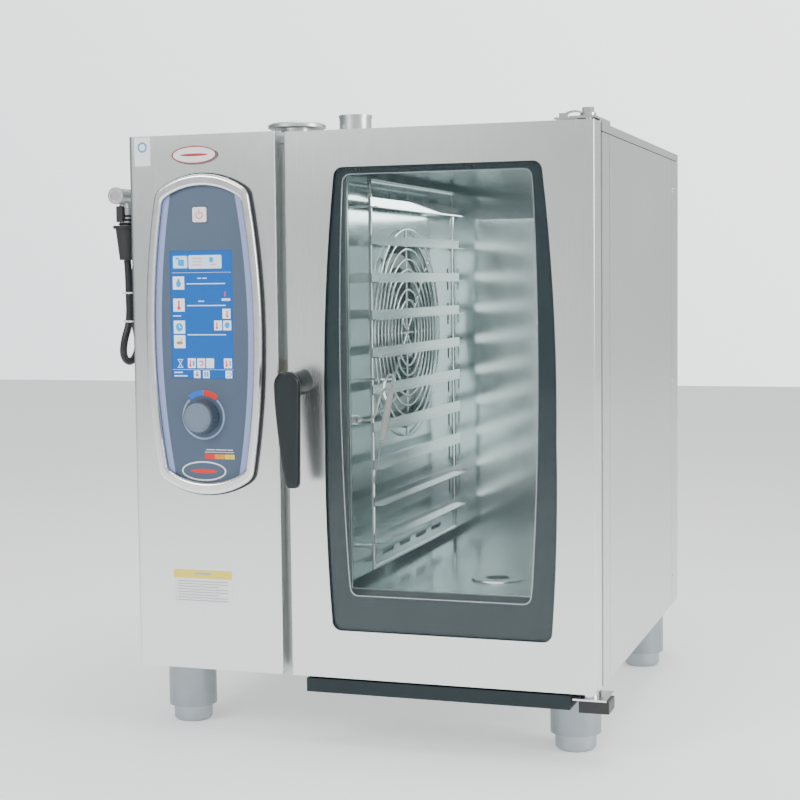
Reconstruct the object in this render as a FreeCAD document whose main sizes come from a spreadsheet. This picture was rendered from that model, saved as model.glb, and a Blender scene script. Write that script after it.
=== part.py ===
"""Combi steamer oven for ten trays, on four adjustable feet, built as separate pieces.

The oven faces -Y and its height runs along +Z. The origin is on the floor, under the middle of the
whole oven's box. Lengths are in millimetres.
"""
import FreeCAD, Part
import math
import os

import Sketcher
from FreeCAD import Placement, Rotation, Vector

DRIVING_SIZES = {
    # casing
    "cabinet_width": 820,
    "cabinet_depth": 850,
    "body_height": 925,
    "foot_height": 117,
    "sheet_thickness": 2,
    "panel_seam": 1.5,
    "cover_lip_height": 13.8,
    "rear_return_depth": 78,
    "front_post_depth": 60,
    "reach_left": 74,
    "reach_right": 20,
    "reach_front": 71,
    "reach_back": 45,
    # control column and door
    "column_width": 274.6,
    "door_side_gap": 16.3,
    "fascia_overrun": 2,
    "fascia_edge_radius": 8,
    "door_thickness": 58,
    "door_seal_gap": 4.5,
    "door_edge_radius": 3,
    "window_top_half": 176.5,
    "window_middle_half": 199.7,
    "window_bottom_half": 190,
    "window_low": 82,
    "window_high": 863,
    "window_middle_height": 410,
    "window_centre_from_door": 266.5,
    "window_corner_radius": 16,
    "window_side_radius": 3400,
    "pane_thickness": 5,
    "inner_window_half": 174,
    "inner_window_low": 146,
    "inner_window_high": 858,
    "inner_pane_lap": 8,
    # cooking cavity
    "cavity_left": 300,
    "cavity_right": 770,
    "cavity_floor": 143,
    "cavity_ceiling": 866,
    "cavity_back": 700,
    "baffle_place": 376,
    "liner_wall": 2,
    "insulation_thickness": 14,
    "insulation_gap": 1,
    "rack_pitch": 65,
    "top_rail_height": 809,
    "rack_front": 104,
    "rack_length": 536,
    "rack_to_wall": 28,
    "rack_rod_diameter": 7,
    "rail_height": 17,
    "rail_ledge": 14,
    # fan
    "fan_depth": 385,
    "fan_height": 575,
    "fan_diameter": 300,
    "fan_width": 42,
    "guard_diameter": 390,
    "motor_diameter": 130,
    "motor_length": 118,
    "fan_shaft_diameter": 16,
    "shaft_clearance": 0.05,
    # feet
    "foot_inset": 55,
    "foot_behind_frame": 37.5,
    "foot_rear_depth": 735,
    "sleeve_diameter": 86,
    "sleeve_length": 88,
    "insert_diameter": 70,
    "spindle_diameter": 20,
    # control panel
    "panel_centre_across": 141.6,
    "panel_centre_height": 584,
    "bezel_corner_half_width": 86.5,
    "bezel_corner_half_height": 245,
    "bezel_side_radius": 1410,
    "bezel_end_radius": 141,
    "bezel_ring_width": 13,
    "bezel_height": 15,
    "face_height": 6,
    "button_side": 26,
    "button_across": 137,
    "button_height": 790,
    "button_clearance": 0.5,
    "screen_width": 117,
    "screen_height": 220,
    "screen_across": 137.2,
    "screen_middle": 619,
    "dial_across": 136.5,
    "dial_height": 443.5,
    "knob_diameter": 59,
    "knob_height": 25,
    # handle
    "handle_across": 314,
    "handle_height": 505,
    "boss_diameter": 46,
    "lever_length": 200,
    "lever_head_width": 47,
    "lever_tip_width": 24,
    "lever_thickness": 22,
    "lever_standoff": 47,
    "handle_shaft_diameter": 16,
    "latch_thickness": 4.6,
    # hinge
    "hinge_from_right": 15.5,
    "hinge_from_front": 28.5,
    "hinge_pin_diameter": 12,
    # services
    "flue_diameter": 56,
    "flue_across": 366,
    "flue_depth": 150,
    "flue_rise": 37,
    "vent_cap_diameter": 101,
    "vent_cap_across": 272,
    "vent_cap_depth": 110,
    "vent_cap_rise": 23,
    "drain_diameter": 50,
    "drain_across": 600,
    "drain_depth": 213,
    "inlet_diameter": 26.4,
    "gland_diameter": 22,
    # hand shower
    "shower_out": 46,
    "shower_depth": 76,
    "hose_diameter": 13,
    "probe_cable_diameter": 4,
}

FASTENER_RADIUS = 4
FASTENER_HEAD = 2.4
GUARD_WIRE_RADIUS = 2
RAIL_COUNT = 10
BLADE_COUNT = 24


def text_of(size):
    """Give the expression of a size, or the text of a plain number."""
    if isinstance(size, Size):
        return size.text
    return repr(float(size))


class Size:
    """A length with the expression that works it out from the sheet."""

    def __init__(self, value, text):
        self.value = float(value)
        self.text = text

    def __float__(self):
        return self.value

    def joined(self, sign, other, value):
        return Size(value, "(%s %s %s)" % (self.text, sign, text_of(other)))

    def __add__(self, other):
        return self.joined("+", other, self.value + float(other))

    def __sub__(self, other):
        return self.joined("-", other, self.value - float(other))

    def __mul__(self, other):
        return self.joined("*", other, self.value * float(other))

    def __truediv__(self, other):
        return self.joined("/", other, self.value / float(other))

    def __neg__(self):
        return Size(-self.value, "(0 - %s)" % self.text)

    def __radd__(self, other):
        return Size(float(other) + self.value, "(%s + %s)" % (text_of(other), self.text))

    def __rsub__(self, other):
        return Size(float(other) - self.value, "(%s - %s)" % (text_of(other), self.text))

    def __rmul__(self, other):
        return self * other


DOC = FreeCAD.newDocument("CombiSteamer")
SHEET = DOC.addObject("Spreadsheet::Sheet", "Sizes")
NODES = []


class Sheet:
    """The driving sizes, each as an attribute that is bound to its cell."""


S = Sheet()
for row, (alias, number) in enumerate(DRIVING_SIZES.items(), start=1):
    SHEET.set("A%d" % row, alias)
    SHEET.set("B%d" % row, str(number))
    SHEET.setAlias("B%d" % row, alias)
    setattr(S, alias, Size(number, "Sizes." + alias))
DOC.recompute()

# The planes that the pieces line up with, worked out from the sheet.
LEFT = (S.reach_left - S.reach_right - S.cabinet_width) / 2
RIGHT = LEFT + S.cabinet_width
FRONT = (S.reach_front - S.reach_back - S.cabinet_depth) / 2
REAR = FRONT + S.cabinet_depth
BOTTOM = S.foot_height
TOP = BOTTOM + S.body_height
FRAME_FRONT = FRONT + S.door_thickness + S.door_seal_gap
DOOR_LEFT = LEFT + S.column_width + S.door_side_gap
PANEL_TOP = TOP - S.cover_lip_height - S.panel_seam
WALL = S.sheet_thickness
BAFFLE = LEFT + S.baffle_place
CAVITY_RIGHT = LEFT + S.cavity_right
CAVITY_FLOOR = BOTTOM + S.cavity_floor
CAVITY_CEILING = BOTTOM + S.cavity_ceiling
CAVITY_BACK = FRONT + S.cavity_back
FAN_Y = FRONT + S.fan_depth
FAN_Z = BOTTOM + S.fan_height
HINGE_X = RIGHT - S.hinge_from_right
HINGE_Y = FRONT + S.hinge_from_front
PANEL_X = LEFT + S.panel_centre_across
PANEL_Z = BOTTOM + S.panel_centre_height
HANDLE_X = LEFT + S.handle_across
HANDLE_Z = BOTTOM + S.handle_height
PARTITION = LEFT + S.column_width - WALL
LEFT_RACK_X = BAFFLE + S.rack_to_wall
RIGHT_RACK_X = CAVITY_RIGHT - S.rack_to_wall

TURN_TO = {"x": Rotation(Vector(0, 1, 0), 90), "y": Rotation(Vector(1, 0, 0), -90), "z": Rotation()}


# ---------------------------------------------------------------- small helpers

def place(piece, at, turn=None):
    """Stand a piece at a point whose coordinates stay bound to the sheet."""
    piece.Placement = Placement(Vector(0, 0, 0), turn or Rotation())
    for axis, size in zip("xyz", at):
        piece.setExpression("Placement.Base." + axis, text_of(size))
    return piece


def bind(piece, **sizes):
    for name, size in sizes.items():
        piece.setExpression(name, text_of(size))
    return piece


def node(label, piece):
    """Name a finished sub-part and keep it for the STEP files."""
    piece.Label = label
    NODES.append(piece)
    return piece


def box(low, high, name="Block"):
    piece = DOC.addObject("Part::Box", name)
    bind(piece, Length=high[0] - low[0], Width=high[1] - low[1], Height=high[2] - low[2])
    return place(piece, low)


def rod(start, length, radius, axis="z", name="Rod"):
    piece = DOC.addObject("Part::Cylinder", name)
    bind(piece, Radius=radius, Height=length)
    return place(piece, start, TURN_TO[axis])


def taper(start, length, radius, end_radius, axis="z", name="Taper"):
    piece = DOC.addObject("Part::Cone", name)
    bind(piece, Radius1=radius, Radius2=end_radius, Height=length)
    return place(piece, start, TURN_TO[axis])


def ring(centre, radius, wire, axis="x", name="Ring"):
    piece = DOC.addObject("Part::Torus", name)
    bind(piece, Radius1=radius, Radius2=wire)
    return place(piece, centre, TURN_TO[axis])


def hexagon(start, height, radius, name="HexHead"):
    piece = DOC.addObject("Part::Prism", name)
    piece.Polygon = 6
    bind(piece, Circumradius=radius, Height=height)
    return place(piece, start)


def join(pieces, name="Joined"):
    piece = DOC.addObject("Part::MultiFuse", name)
    piece.Shapes = pieces
    piece.Refine = True
    return piece


def cut(base, tools, name="Shell"):
    piece = DOC.addObject("Part::Cut", name)
    piece.Base = base
    piece.Tool = tools[0] if len(tools) == 1 else join(tools, name + "Tools")
    return piece


def group(pieces, name="Group"):
    piece = DOC.addObject("Part::Compound", name)
    piece.Links = pieces
    return piece


def tube(start, length, radius, bore, axis="z", name="Tube"):
    return cut(rod(start, length, radius, axis), [rod(start, length, bore, axis)], name)


def body(name, at=(0, 0, 0), turn=None):
    return place(DOC.addObject("PartDesign::Body", name), at, turn)


def sketch(owner, role, name, lift=0):
    """Put a sketch on one of its own body's origin planes, lifted along the plane's normal."""
    drawing = owner.newObject("Sketcher::SketchObject", name)
    for feature in owner.Origin.OriginFeatures:
        if feature.Role == role:
            drawing.AttachmentSupport = [(feature, "")]
    drawing.MapMode = "FlatFace"
    drawing.setExpression("AttachmentOffset.Base.z", text_of(lift))
    return drawing


def fix(drawing, kind, where, size, name):
    """Add one dimension and bind it to its expression."""
    index = drawing.addConstraint(Sketcher.Constraint(kind, *where, float(size)))
    drawing.renameConstraint(index, name)
    drawing.setExpression("Constraints." + name, text_of(size))


def outline(drawing, corners, radii=None, tag="p"):
    """Draw a closed loop counter-clockwise through the corners, with outward arcs where given."""
    radii = radii or [None] * len(corners)
    first = drawing.GeometryCount
    points = [Vector(float(x), float(y), 0) for x, y in corners]
    for index, radius in enumerate(radii):
        start = points[index]
        end = points[(index + 1) % len(points)]
        if radius is None:
            drawing.addGeometry(Part.LineSegment(start, end), False)
            continue
        chord = end - start
        inward = Vector(-chord.y, chord.x, 0).normalize()
        rise = math.sqrt(float(radius) ** 2 - (chord.Length / 2) ** 2)
        centre = (start + end) / 2 + inward * rise
        begin = math.atan2(start.y - centre.y, start.x - centre.x)
        stop = math.atan2(end.y - centre.y, end.x - centre.x)
        if stop < begin:
            stop += 2 * math.pi
        circle = Part.Circle(centre, Vector(0, 0, 1), float(radius))
        drawing.addGeometry(Part.ArcOfCircle(circle, begin, stop), False)
    count = len(points)
    for index in range(count):
        after = first + (index + 1) % count
        drawing.addConstraint(Sketcher.Constraint("Coincident", first + index, 2, after, 1))
    for index, (across, up) in enumerate(corners):
        where = (-1, 1, first + index, 1)
        fix(drawing, "DistanceX", where, across, "%s_x%d" % (tag, index))
        fix(drawing, "DistanceY", where, up, "%s_y%d" % (tag, index))
        if radii[index] is not None:
            fix(drawing, "Radius", (first + index,), radii[index], "%s_r%d" % (tag, index))


def rectangle(drawing, low, high, tag="q"):
    outline(drawing, [low, (high[0], low[1]), high, (low[0], high[1])], tag=tag)


def disc(drawing, centre, radius, tag="c"):
    index = drawing.addGeometry(Part.Circle(Vector(float(centre[0]), float(centre[1]), 0),
                                            Vector(0, 0, 1), float(radius)), False)
    fix(drawing, "Radius", (index,), radius, tag + "_r")
    for kind, size in (("DistanceX", centre[0]), ("DistanceY", centre[1])):
        fix(drawing, kind, (-1, 1, index, 3), size, "%s_%s" % (tag, kind[-1].lower()))


def pad(owner, drawing, length, name="Pad", backwards=False):
    feature = owner.newObject("PartDesign::Pad", name)
    feature.Profile = drawing
    bind(feature, Length=length)
    feature.Reversed = backwards
    drawing.Visibility = False
    DOC.recompute()
    return feature


def pocket(owner, drawing, length, name="Pocket", backwards=False):
    """Cut a pocket, and stop if it takes nothing away."""
    before = owner.Shape.Volume
    feature = owner.newObject("PartDesign::Pocket", name)
    feature.Profile = drawing
    bind(feature, Length=length)
    feature.Reversed = backwards
    DOC.recompute()
    if owner.Shape.Volume > before - 1:
        raise RuntimeError(name + " cuts nothing")
    return feature


def revolve(owner, drawing, name="Turned"):
    feature = owner.newObject("PartDesign::Revolution", name)
    feature.Profile = drawing
    feature.ReferenceAxis = (drawing, ["V_Axis"])
    feature.Angle = 360
    DOC.recompute()
    return feature


def soften(owner, radius, wanted, name="Softened"):
    """Fillet the edges of the last feature that a test picks out."""
    base = owner.Tip
    picked = ["Edge%d" % (index + 1) for index, edge in enumerate(base.Shape.Edges) if wanted(edge)]
    if not picked:
        raise RuntimeError(name + " finds no edge")
    feature = owner.newObject("PartDesign::Fillet", name)
    feature.Base = (base, picked)
    bind(feature, Radius=radius)
    DOC.recompute()
    if "Invalid" in feature.State or feature.Shape.isNull():
        raise RuntimeError("%s cannot be rounded by %s" % (name, float(radius)))
    return feature


def runs_along(edge, axis):
    """Say whether a straight edge runs along an axis."""
    if not isinstance(edge.Curve, (Part.Line, Part.LineSegment)):
        return False
    return abs(edge.tangentAt(edge.FirstParameter).dot(axis)) > 0.999


def lies_at(edge, axis, height):
    """Say whether a whole edge lies at one height along an axis of its body."""
    box_of_edge = edge.BoundBox
    low = {"x": box_of_edge.XMin, "y": box_of_edge.YMin, "z": box_of_edge.ZMin}[axis]
    high = {"x": box_of_edge.XMax, "y": box_of_edge.YMax, "z": box_of_edge.ZMax}[axis]
    return abs(low - float(height)) < 0.05 and abs(high - float(height)) < 0.05


def barrel(drawing, shrink, tag="b"):
    """Draw the control panel's outline: four arcs, drawn in by one margin."""
    wide = S.bezel_corner_half_width - shrink
    tall = S.bezel_corner_half_height - shrink
    side = S.bezel_side_radius - shrink
    end = S.bezel_end_radius - shrink
    outline(drawing, [(wide, -tall), (wide, tall), (-wide, tall), (-wide, -tall)],
            [side, end, side, end], tag)


def window(drawing, shrink_side, shrink_top, shrink_bottom, tag="w"):
    """Draw the door window's outline, centred across, from the foot of the door upwards."""
    low = S.window_low + shrink_bottom
    high = S.window_high - shrink_top
    bottom = S.window_bottom_half - shrink_side
    top = S.window_top_half - shrink_side
    middle = S.window_middle_half - shrink_side
    waist = S.window_middle_height
    side_bow = S.window_side_radius
    right_side = [(bottom, low), (middle, waist), (top, high)]
    left_side = [(-top, high), (-middle, waist), (-bottom, low)]
    outline(drawing, right_side + left_side, [side_bow, side_bow, None, side_bow, side_bow, None], tag)


def cord_tube(points, diameter, label):
    """Sweep a cord along straight runs joined by the largest tangent arcs that the runs allow."""
    edges = []
    at = points[0]
    radii = []
    for before, corner, after in zip(points, points[1:], points[2:]):
        come = corner - before
        leave = after - corner
        half_turn = come.getAngle(leave) / 2
        shorter = min(come.Length, leave.Length)
        setback = 0.45 * shorter
        radius = setback / math.tan(half_turn)
        radii.append(radius)
        begin = corner - come.normalize() * setback
        leave = Vector(leave).normalize()
        stop = corner + leave * setback
        toward = ((begin + stop) / 2 - corner).normalize()
        middle = corner + toward * (radius / math.cos(half_turn) - radius)
        edges.append(Part.LineSegment(at, begin).toShape())
        edges.append(Part.Arc(begin, middle, stop).toShape())
        at = stop
    edges.append(Part.LineSegment(at, points[-1]).toShape())
    path = Part.Wire(edges)
    first_run = points[1] - points[0]
    section = Part.Wire([Part.makeCircle(diameter / 2, points[0], first_run)])
    solid = path.makePipeShell([section], True, False)
    wanted = math.pi * (diameter / 2) ** 2 * path.Length
    print("%s: length %.0f mm, radii %s" % (label, path.Length, [round(radius) for radius in radii]))
    print("%s: volume is %.3f of section times length" % (label, solid.Volume / wanted))
    feature = DOC.addObject("Part::Feature", label)
    feature.Shape = solid
    return feature


# ---------------------------------------------------------------- chassis, feet and casing

def foot_places():
    left = LEFT + S.foot_inset
    right = RIGHT - S.foot_inset
    front = FRAME_FRONT + S.foot_behind_frame
    rear = FRONT + S.foot_rear_depth
    return {"front_left": (left, front), "front_right": (right, front),
            "rear_left": (left, rear), "rear_right": (right, rear)}


def base_chassis():
    """A folded floor pan with a rim turned up all round, and a step under the control column."""
    slip = 0.2
    front = FRAME_FRONT + WALL + slip
    step_front = FRONT + WALL + slip
    foot = BOTTOM + WALL + slip
    pan = box((LEFT + WALL + slip, front, BOTTOM), (RIGHT - WALL - slip, REAR - WALL - slip, BOTTOM + 28))
    step = box((LEFT + WALL + slip, step_front, foot), (PARTITION - slip, front + WALL * 2, BOTTOM + 28))
    hollow = box((LEFT + WALL * 2 + slip, front + WALL, foot + WALL),
                 (RIGHT - WALL * 2 - slip, REAR - WALL * 2 - slip, BOTTOM + 40))
    step_hollow = box((LEFT + WALL * 2 + slip, step_front + WALL, foot + WALL),
                      (PARTITION - WALL - slip, front + WALL * 2, BOTTOM + 40))
    return node("base_chassis", cut(join([pan, step]), [hollow, step_hollow]))


def foot_sleeves():
    """Four steel cups, closed at the top by the plate that the foot's spindle screws into."""
    bore = S.insert_diameter / 2 + 1.5
    cups = []
    for across, depth in foot_places().values():
        foot = (across, depth, BOTTOM - S.sleeve_length)
        cup = rod(foot, S.sleeve_length, S.sleeve_diameter / 2)
        room = rod(foot, S.sleeve_length - 8, bore)
        thread = rod(foot, S.sleeve_length, S.spindle_diameter / 2 + S.shaft_clearance)
        cups.append(cut(cup, [room, thread]))
    return node("foot_sleeves", group(cups))


def foot_insert(corner, across, depth):
    """A turned foot: a pad on the floor, a skirt inside the sleeve and a spindle above it."""
    turned = body("Foot_" + corner, (across, depth, 0))
    profile = sketch(turned, "XZ_Plane", "FootProfile")
    wide = S.insert_diameter / 2
    floor_edge = wide - 4
    stem = S.spindle_diameter / 2
    skirt_top = S.foot_height - S.sleeve_length + 30
    tip = S.foot_height - 1
    outline(profile, [(0, 0), (floor_edge, 0), (wide, 5), (wide, skirt_top), (stem, skirt_top + 4),
                      (stem, tip), (0, tip)])
    revolve(turned, profile)
    return node("foot_" + corner, turned)


def left_side_panel():
    rear = REAR - S.rear_return_depth - S.panel_seam
    panel = box((LEFT, FRAME_FRONT + 2, BOTTOM), (LEFT + WALL, rear, PANEL_TOP))
    flange = box((LEFT, FRAME_FRONT + 2, BOTTOM + 30), (LEFT + 14, FRAME_FRONT + 2 + WALL, PANEL_TOP))
    return node("left_side_panel", join([panel, flange]))


def right_side_panel():
    front = FRAME_FRONT + S.front_post_depth + S.panel_seam
    rear = REAR - S.rear_return_depth - S.panel_seam
    panel = box((RIGHT - WALL, front, BOTTOM), (RIGHT, rear, PANEL_TOP))
    stiffener = box((RIGHT - 12, front + 250, BOTTOM + 40), (RIGHT - WALL, front + 290, PANEL_TOP - 40))
    return node("right_side_panel", join([panel, stiffener]))


def rear_panel():
    """The back: a tray with side returns, a field of louvre slots and the service holes."""
    back = box((LEFT, REAR - S.rear_return_depth, BOTTOM), (RIGHT, REAR, PANEL_TOP))
    hollow = box((LEFT + WALL, REAR - S.rear_return_depth, BOTTOM), (RIGHT - WALL, REAR - WALL, PANEL_TOP))
    holes = []
    for row in range(9):
        height = BOTTOM + 560 + row * 22
        holes.append(box((LEFT + 60, REAR - 3, height), (LEFT + 220, REAR + 1, height + 6)))
    for across, height, radius in SERVICE_HOLES:
        holes.append(rod((LEFT + across, REAR - 3, BOTTOM + height), 6, radius, "y"))
    return node("rear_panel", cut(back, [hollow] + holes))


def top_cover():
    """A shallow lid turned upside down, with holes for the flue and the vent."""
    lid = box((LEFT, FRAME_FRONT, TOP - S.cover_lip_height), (RIGHT, REAR, TOP))
    under = box((LEFT + WALL, FRAME_FRONT + WALL, TOP - S.cover_lip_height),
                (RIGHT - WALL, REAR - WALL, TOP - WALL))
    flue = rod((LEFT + S.flue_across, FRONT + S.flue_depth, TOP - 10), 20, S.flue_diameter / 2 + 0.5)
    vent = rod((LEFT + S.vent_cap_across, FRONT + S.vent_cap_depth, TOP - 10), 20, 32)
    return node("top_cover", cut(lid, [under, flue, vent]))


def fascia():
    """The front casing of the control column, open at the back and cut out behind the panel."""
    front = body("Fascia", (LEFT, FRONT, BOTTOM))
    face = sketch(front, "XZ_Plane", "FasciaFront")
    high = S.body_height + S.fascia_overrun
    rectangle(face, (0, 0), (S.column_width, high))
    depth = S.door_thickness + S.door_seal_gap
    pad(front, face, depth, "FasciaBlock", True)
    along_z = Vector(0, 0, 1)
    soften(front, S.fascia_edge_radius,
           lambda edge: runs_along(edge, along_z) and lies_at(edge, "y", 0) and lies_at(edge, "x", 0),
           "LeftEdge")
    soften(front, 3,
           lambda edge: runs_along(edge, along_z) and lies_at(edge, "y", 0) and
           lies_at(edge, "x", S.column_width), "RightEdge")
    inside = sketch(front, "XZ_Plane", "FasciaInside", -depth)
    rectangle(inside, (WALL, WALL), (S.column_width - WALL, high - WALL))
    pocket(front, inside, depth - WALL, "Hollow", True)
    opening = sketch(front, "XZ_Plane", "PanelOpening", -depth)
    middle = S.panel_centre_across
    low = S.dial_height - 50
    rectangle(opening, (middle - 74, low), (middle + 66, S.button_height + 40))
    pocket(front, opening, depth + 1, "Opening", True)
    return node("fascia", front)


def column_partition():
    """The upright sheet between the control column and the insulated cavity."""
    wall = box((PARTITION, FRAME_FRONT, BOTTOM + 28), (PARTITION + WALL, REAR - 4, PANEL_TOP))
    hole = rod((PARTITION - 1, FAN_Y, FAN_Z), 6, S.motor_diameter / 2 - 20, "x")
    drain = rod((PARTITION - 1, FRONT + 560, BOTTOM + 330), 6, 20, "x")
    return node("column_partition", cut(wall, [hole, drain]))


# ---------------------------------------------------------------- cooking cavity

def rack_pins(start, length):
    """Four studs in a row plan, from a wall to just short of the rack that hangs against it."""
    pins = []
    for depth in (S.rack_front + 40, S.rack_front + S.rack_length - 70):
        for height in (CAVITY_FLOOR + 60, CAVITY_CEILING - 60):
            pins.append(rod((start, FRONT + depth, height), length, 5, "x", "RackPin"))
    return pins


def cavity_liner():
    """The welded cooking chamber, open at the front, with the right rack's pins on its wall."""
    wall = S.liner_wall
    inner_low = (LEFT + S.cavity_left, FRAME_FRONT, CAVITY_FLOOR)
    inner_high = (CAVITY_RIGHT, CAVITY_BACK, CAVITY_CEILING)
    outside = box((inner_low[0] - wall, FRAME_FRONT + WALL, inner_low[2] - wall),
                  (inner_high[0] + wall, inner_high[1] + wall, inner_high[2] + wall))
    room = box(inner_low, inner_high)
    shaft = rod((inner_low[0] - 5, FAN_Y, FAN_Z), 10, S.fan_shaft_diameter / 2 + 1, "x")
    drain_radius = S.drain_diameter / 2 + 0.5
    drain = rod((LEFT + S.drain_across, FRONT + S.drain_depth, CAVITY_FLOOR - 5), 10, drain_radius)
    flue = rod((LEFT + S.flue_across, FRONT + S.flue_depth, CAVITY_CEILING - 5), 10,
               S.flue_diameter / 2 - 3)
    tails = []
    for side in (-8, 8):
        tails.append(rod((inner_low[0] - 5, FAN_Y + side, FAN_Z - S.fan_diameter / 2 - 22), 10, 4.2, "x"))
    shell = cut(outside, [room, shaft, drain, flue] + tails)
    reach = S.rack_to_wall - S.rack_rod_diameter / 2 - 0.5
    return node("cavity_liner", join([shell] + rack_pins(CAVITY_RIGHT - reach, reach), "Liner"))


def cavity_front_frame():
    """The flat frame that the door seals against, folded back along the right side as a post."""
    left = LEFT + S.column_width
    plate = box((left, FRAME_FRONT, BOTTOM), (RIGHT, FRAME_FRONT + WALL, PANEL_TOP))
    post = box((RIGHT - WALL, FRAME_FRONT, BOTTOM), (RIGHT, FRAME_FRONT + S.front_post_depth, PANEL_TOP))
    mouth = box((BAFFLE + 2, FRAME_FRONT - 1, CAVITY_FLOOR), (CAVITY_RIGHT, FRAME_FRONT + 10, CAVITY_CEILING))
    latch = box((HANDLE_X - 30, FRAME_FRONT - 1, HANDLE_Z - 30),
                (HANDLE_X + 14, FRAME_FRONT + 10, HANDLE_Z + 34))
    return node("cavity_front_frame", cut(join([plate, post]), [mouth, latch]))


def door_gasket():
    """A rubber lip pressed into the frame round the cavity mouth."""
    thick = S.door_seal_gap - 0.4
    seat = FRAME_FRONT - thick
    low = (BAFFLE - 12, seat, CAVITY_FLOOR - 14)
    high = (CAVITY_RIGHT + 14, FRAME_FRONT, CAVITY_CEILING + 14)
    hole = box((BAFFLE + 2, seat - 1, CAVITY_FLOOR), (CAVITY_RIGHT, FRAME_FRONT + 1, CAVITY_CEILING))
    return node("door_gasket", cut(box(low, high), [hole]))


def insulation_wrap():
    """Mineral wool round the cavity, open at the front and where pipes and the shaft pass."""
    gap = S.liner_wall + S.insulation_gap
    thick = gap + S.insulation_thickness
    low = (LEFT + S.cavity_left, FRAME_FRONT + 4, CAVITY_FLOOR)
    high = (CAVITY_RIGHT, CAVITY_BACK, CAVITY_CEILING)
    outside = box((low[0] - thick, low[1], low[2] - thick),
                  (high[0] + thick, high[1] + thick, high[2] + thick))
    room = box((low[0] - gap, low[1] - 1, low[2] - gap), (high[0] + gap, high[1] + gap, high[2] + gap))
    shaft = rod((low[0] - thick - 5, FAN_Y, FAN_Z), 40, 30, "x")
    drain_radius = S.drain_diameter / 2 + 3
    drain = rod((LEFT + S.drain_across, FRONT + S.drain_depth, low[2] - thick - 5), 40, drain_radius)
    flue = rod((LEFT + S.flue_across, FRONT + S.flue_depth, high[2] - 5), 40, S.flue_diameter / 2 + 2)
    coil = box((low[0] - thick - 5, FAN_Y - 14, FAN_Z - 210), (low[0], FAN_Y + 14, FAN_Z - 160))
    steam = rod((low[0] - thick - 5, FRONT + 560, BOTTOM + 330), 40, 18, "x")
    return node("insulation_wrap", cut(outside, [room, shaft, drain, flue, coil, steam]))


def air_baffle():
    """The sheet between the fan and the trays: a hole for the guard and slots along its edges."""
    sheet = 1.5
    low = (BAFFLE, FRAME_FRONT + 14, CAVITY_FLOOR + 12)
    high = (BAFFLE + sheet, CAVITY_BACK - 12, CAVITY_CEILING - 12)
    holes = [rod((BAFFLE - 2, FAN_Y, FAN_Z), 6, S.guard_diameter / 2 - 14, "x")]
    for row in range(5):
        depth = FRAME_FRONT + 70 + row * 100
        for low_edge in (CAVITY_CEILING - 40, CAVITY_FLOOR + 31):
            holes.append(box((BAFFLE - 2, depth, low_edge), (BAFFLE + 4, depth + 66, low_edge + 9)))
    for row in range(7):
        height = CAVITY_FLOOR + 90 + row * 70
        holes.append(box((BAFFLE - 2, CAVITY_BACK - 42, height), (BAFFLE + 4, CAVITY_BACK - 32, height + 44)))
    reach = S.rack_to_wall - S.rack_rod_diameter / 2 - 0.5
    return node("air_baffle", join([cut(box(low, high), holes)] + rack_pins(BAFFLE, reach), "Baffle"))


def fan_guard():
    """Welded wire rings on crossed spokes, bolted over the hole in the baffle."""
    out = BAFFLE + 1.5 + GUARD_WIRE_RADIUS
    pieces = []
    for step in range(9):
        radius = S.guard_diameter / 2 - step * 19
        pieces.append(ring((out + GUARD_WIRE_RADIUS * 1.6, FAN_Y, FAN_Z), radius, GUARD_WIRE_RADIUS))
    half = S.guard_diameter / 2
    for turn in range(4):
        spoke = DOC.addObject("Part::Cylinder", "Spoke")
        bind(spoke, Radius=GUARD_WIRE_RADIUS, Height=S.guard_diameter)
        angle = math.radians(45 * turn)
        place(spoke, (out, FAN_Y - half * math.sin(angle), FAN_Z - half * math.cos(angle)),
              Rotation(Vector(0, 0, 1), Vector(0, math.sin(angle), math.cos(angle))))
        pieces.append(spoke)
    return node("fan_guard", join(pieces, "Guard"))


def fan_motor():
    """The motor in the control column, with a hollow nose that carries the fan's shaft."""
    end = PARTITION - 1
    start = end - S.motor_length
    can = rod((start, FAN_Y, FAN_Z), S.motor_length - 6, S.motor_diameter / 2, "x")
    flange = rod((end - 6, FAN_Y, FAN_Z), 6, S.motor_diameter / 2 + 12, "x")
    nose = rod((end, FAN_Y, FAN_Z), 14, 22, "x")
    bore = rod((start + 30, FAN_Y, FAN_Z), S.motor_length, S.fan_shaft_diameter / 2 + S.shaft_clearance, "x")
    fins = []
    for fin in range(6):
        fins.append(rod((start + 10 + fin * 14, FAN_Y, FAN_Z), 4, S.motor_diameter / 2 + 6, "x"))
    return node("fan_motor", cut(join([can, flange, nose] + fins), [bore]))


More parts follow.
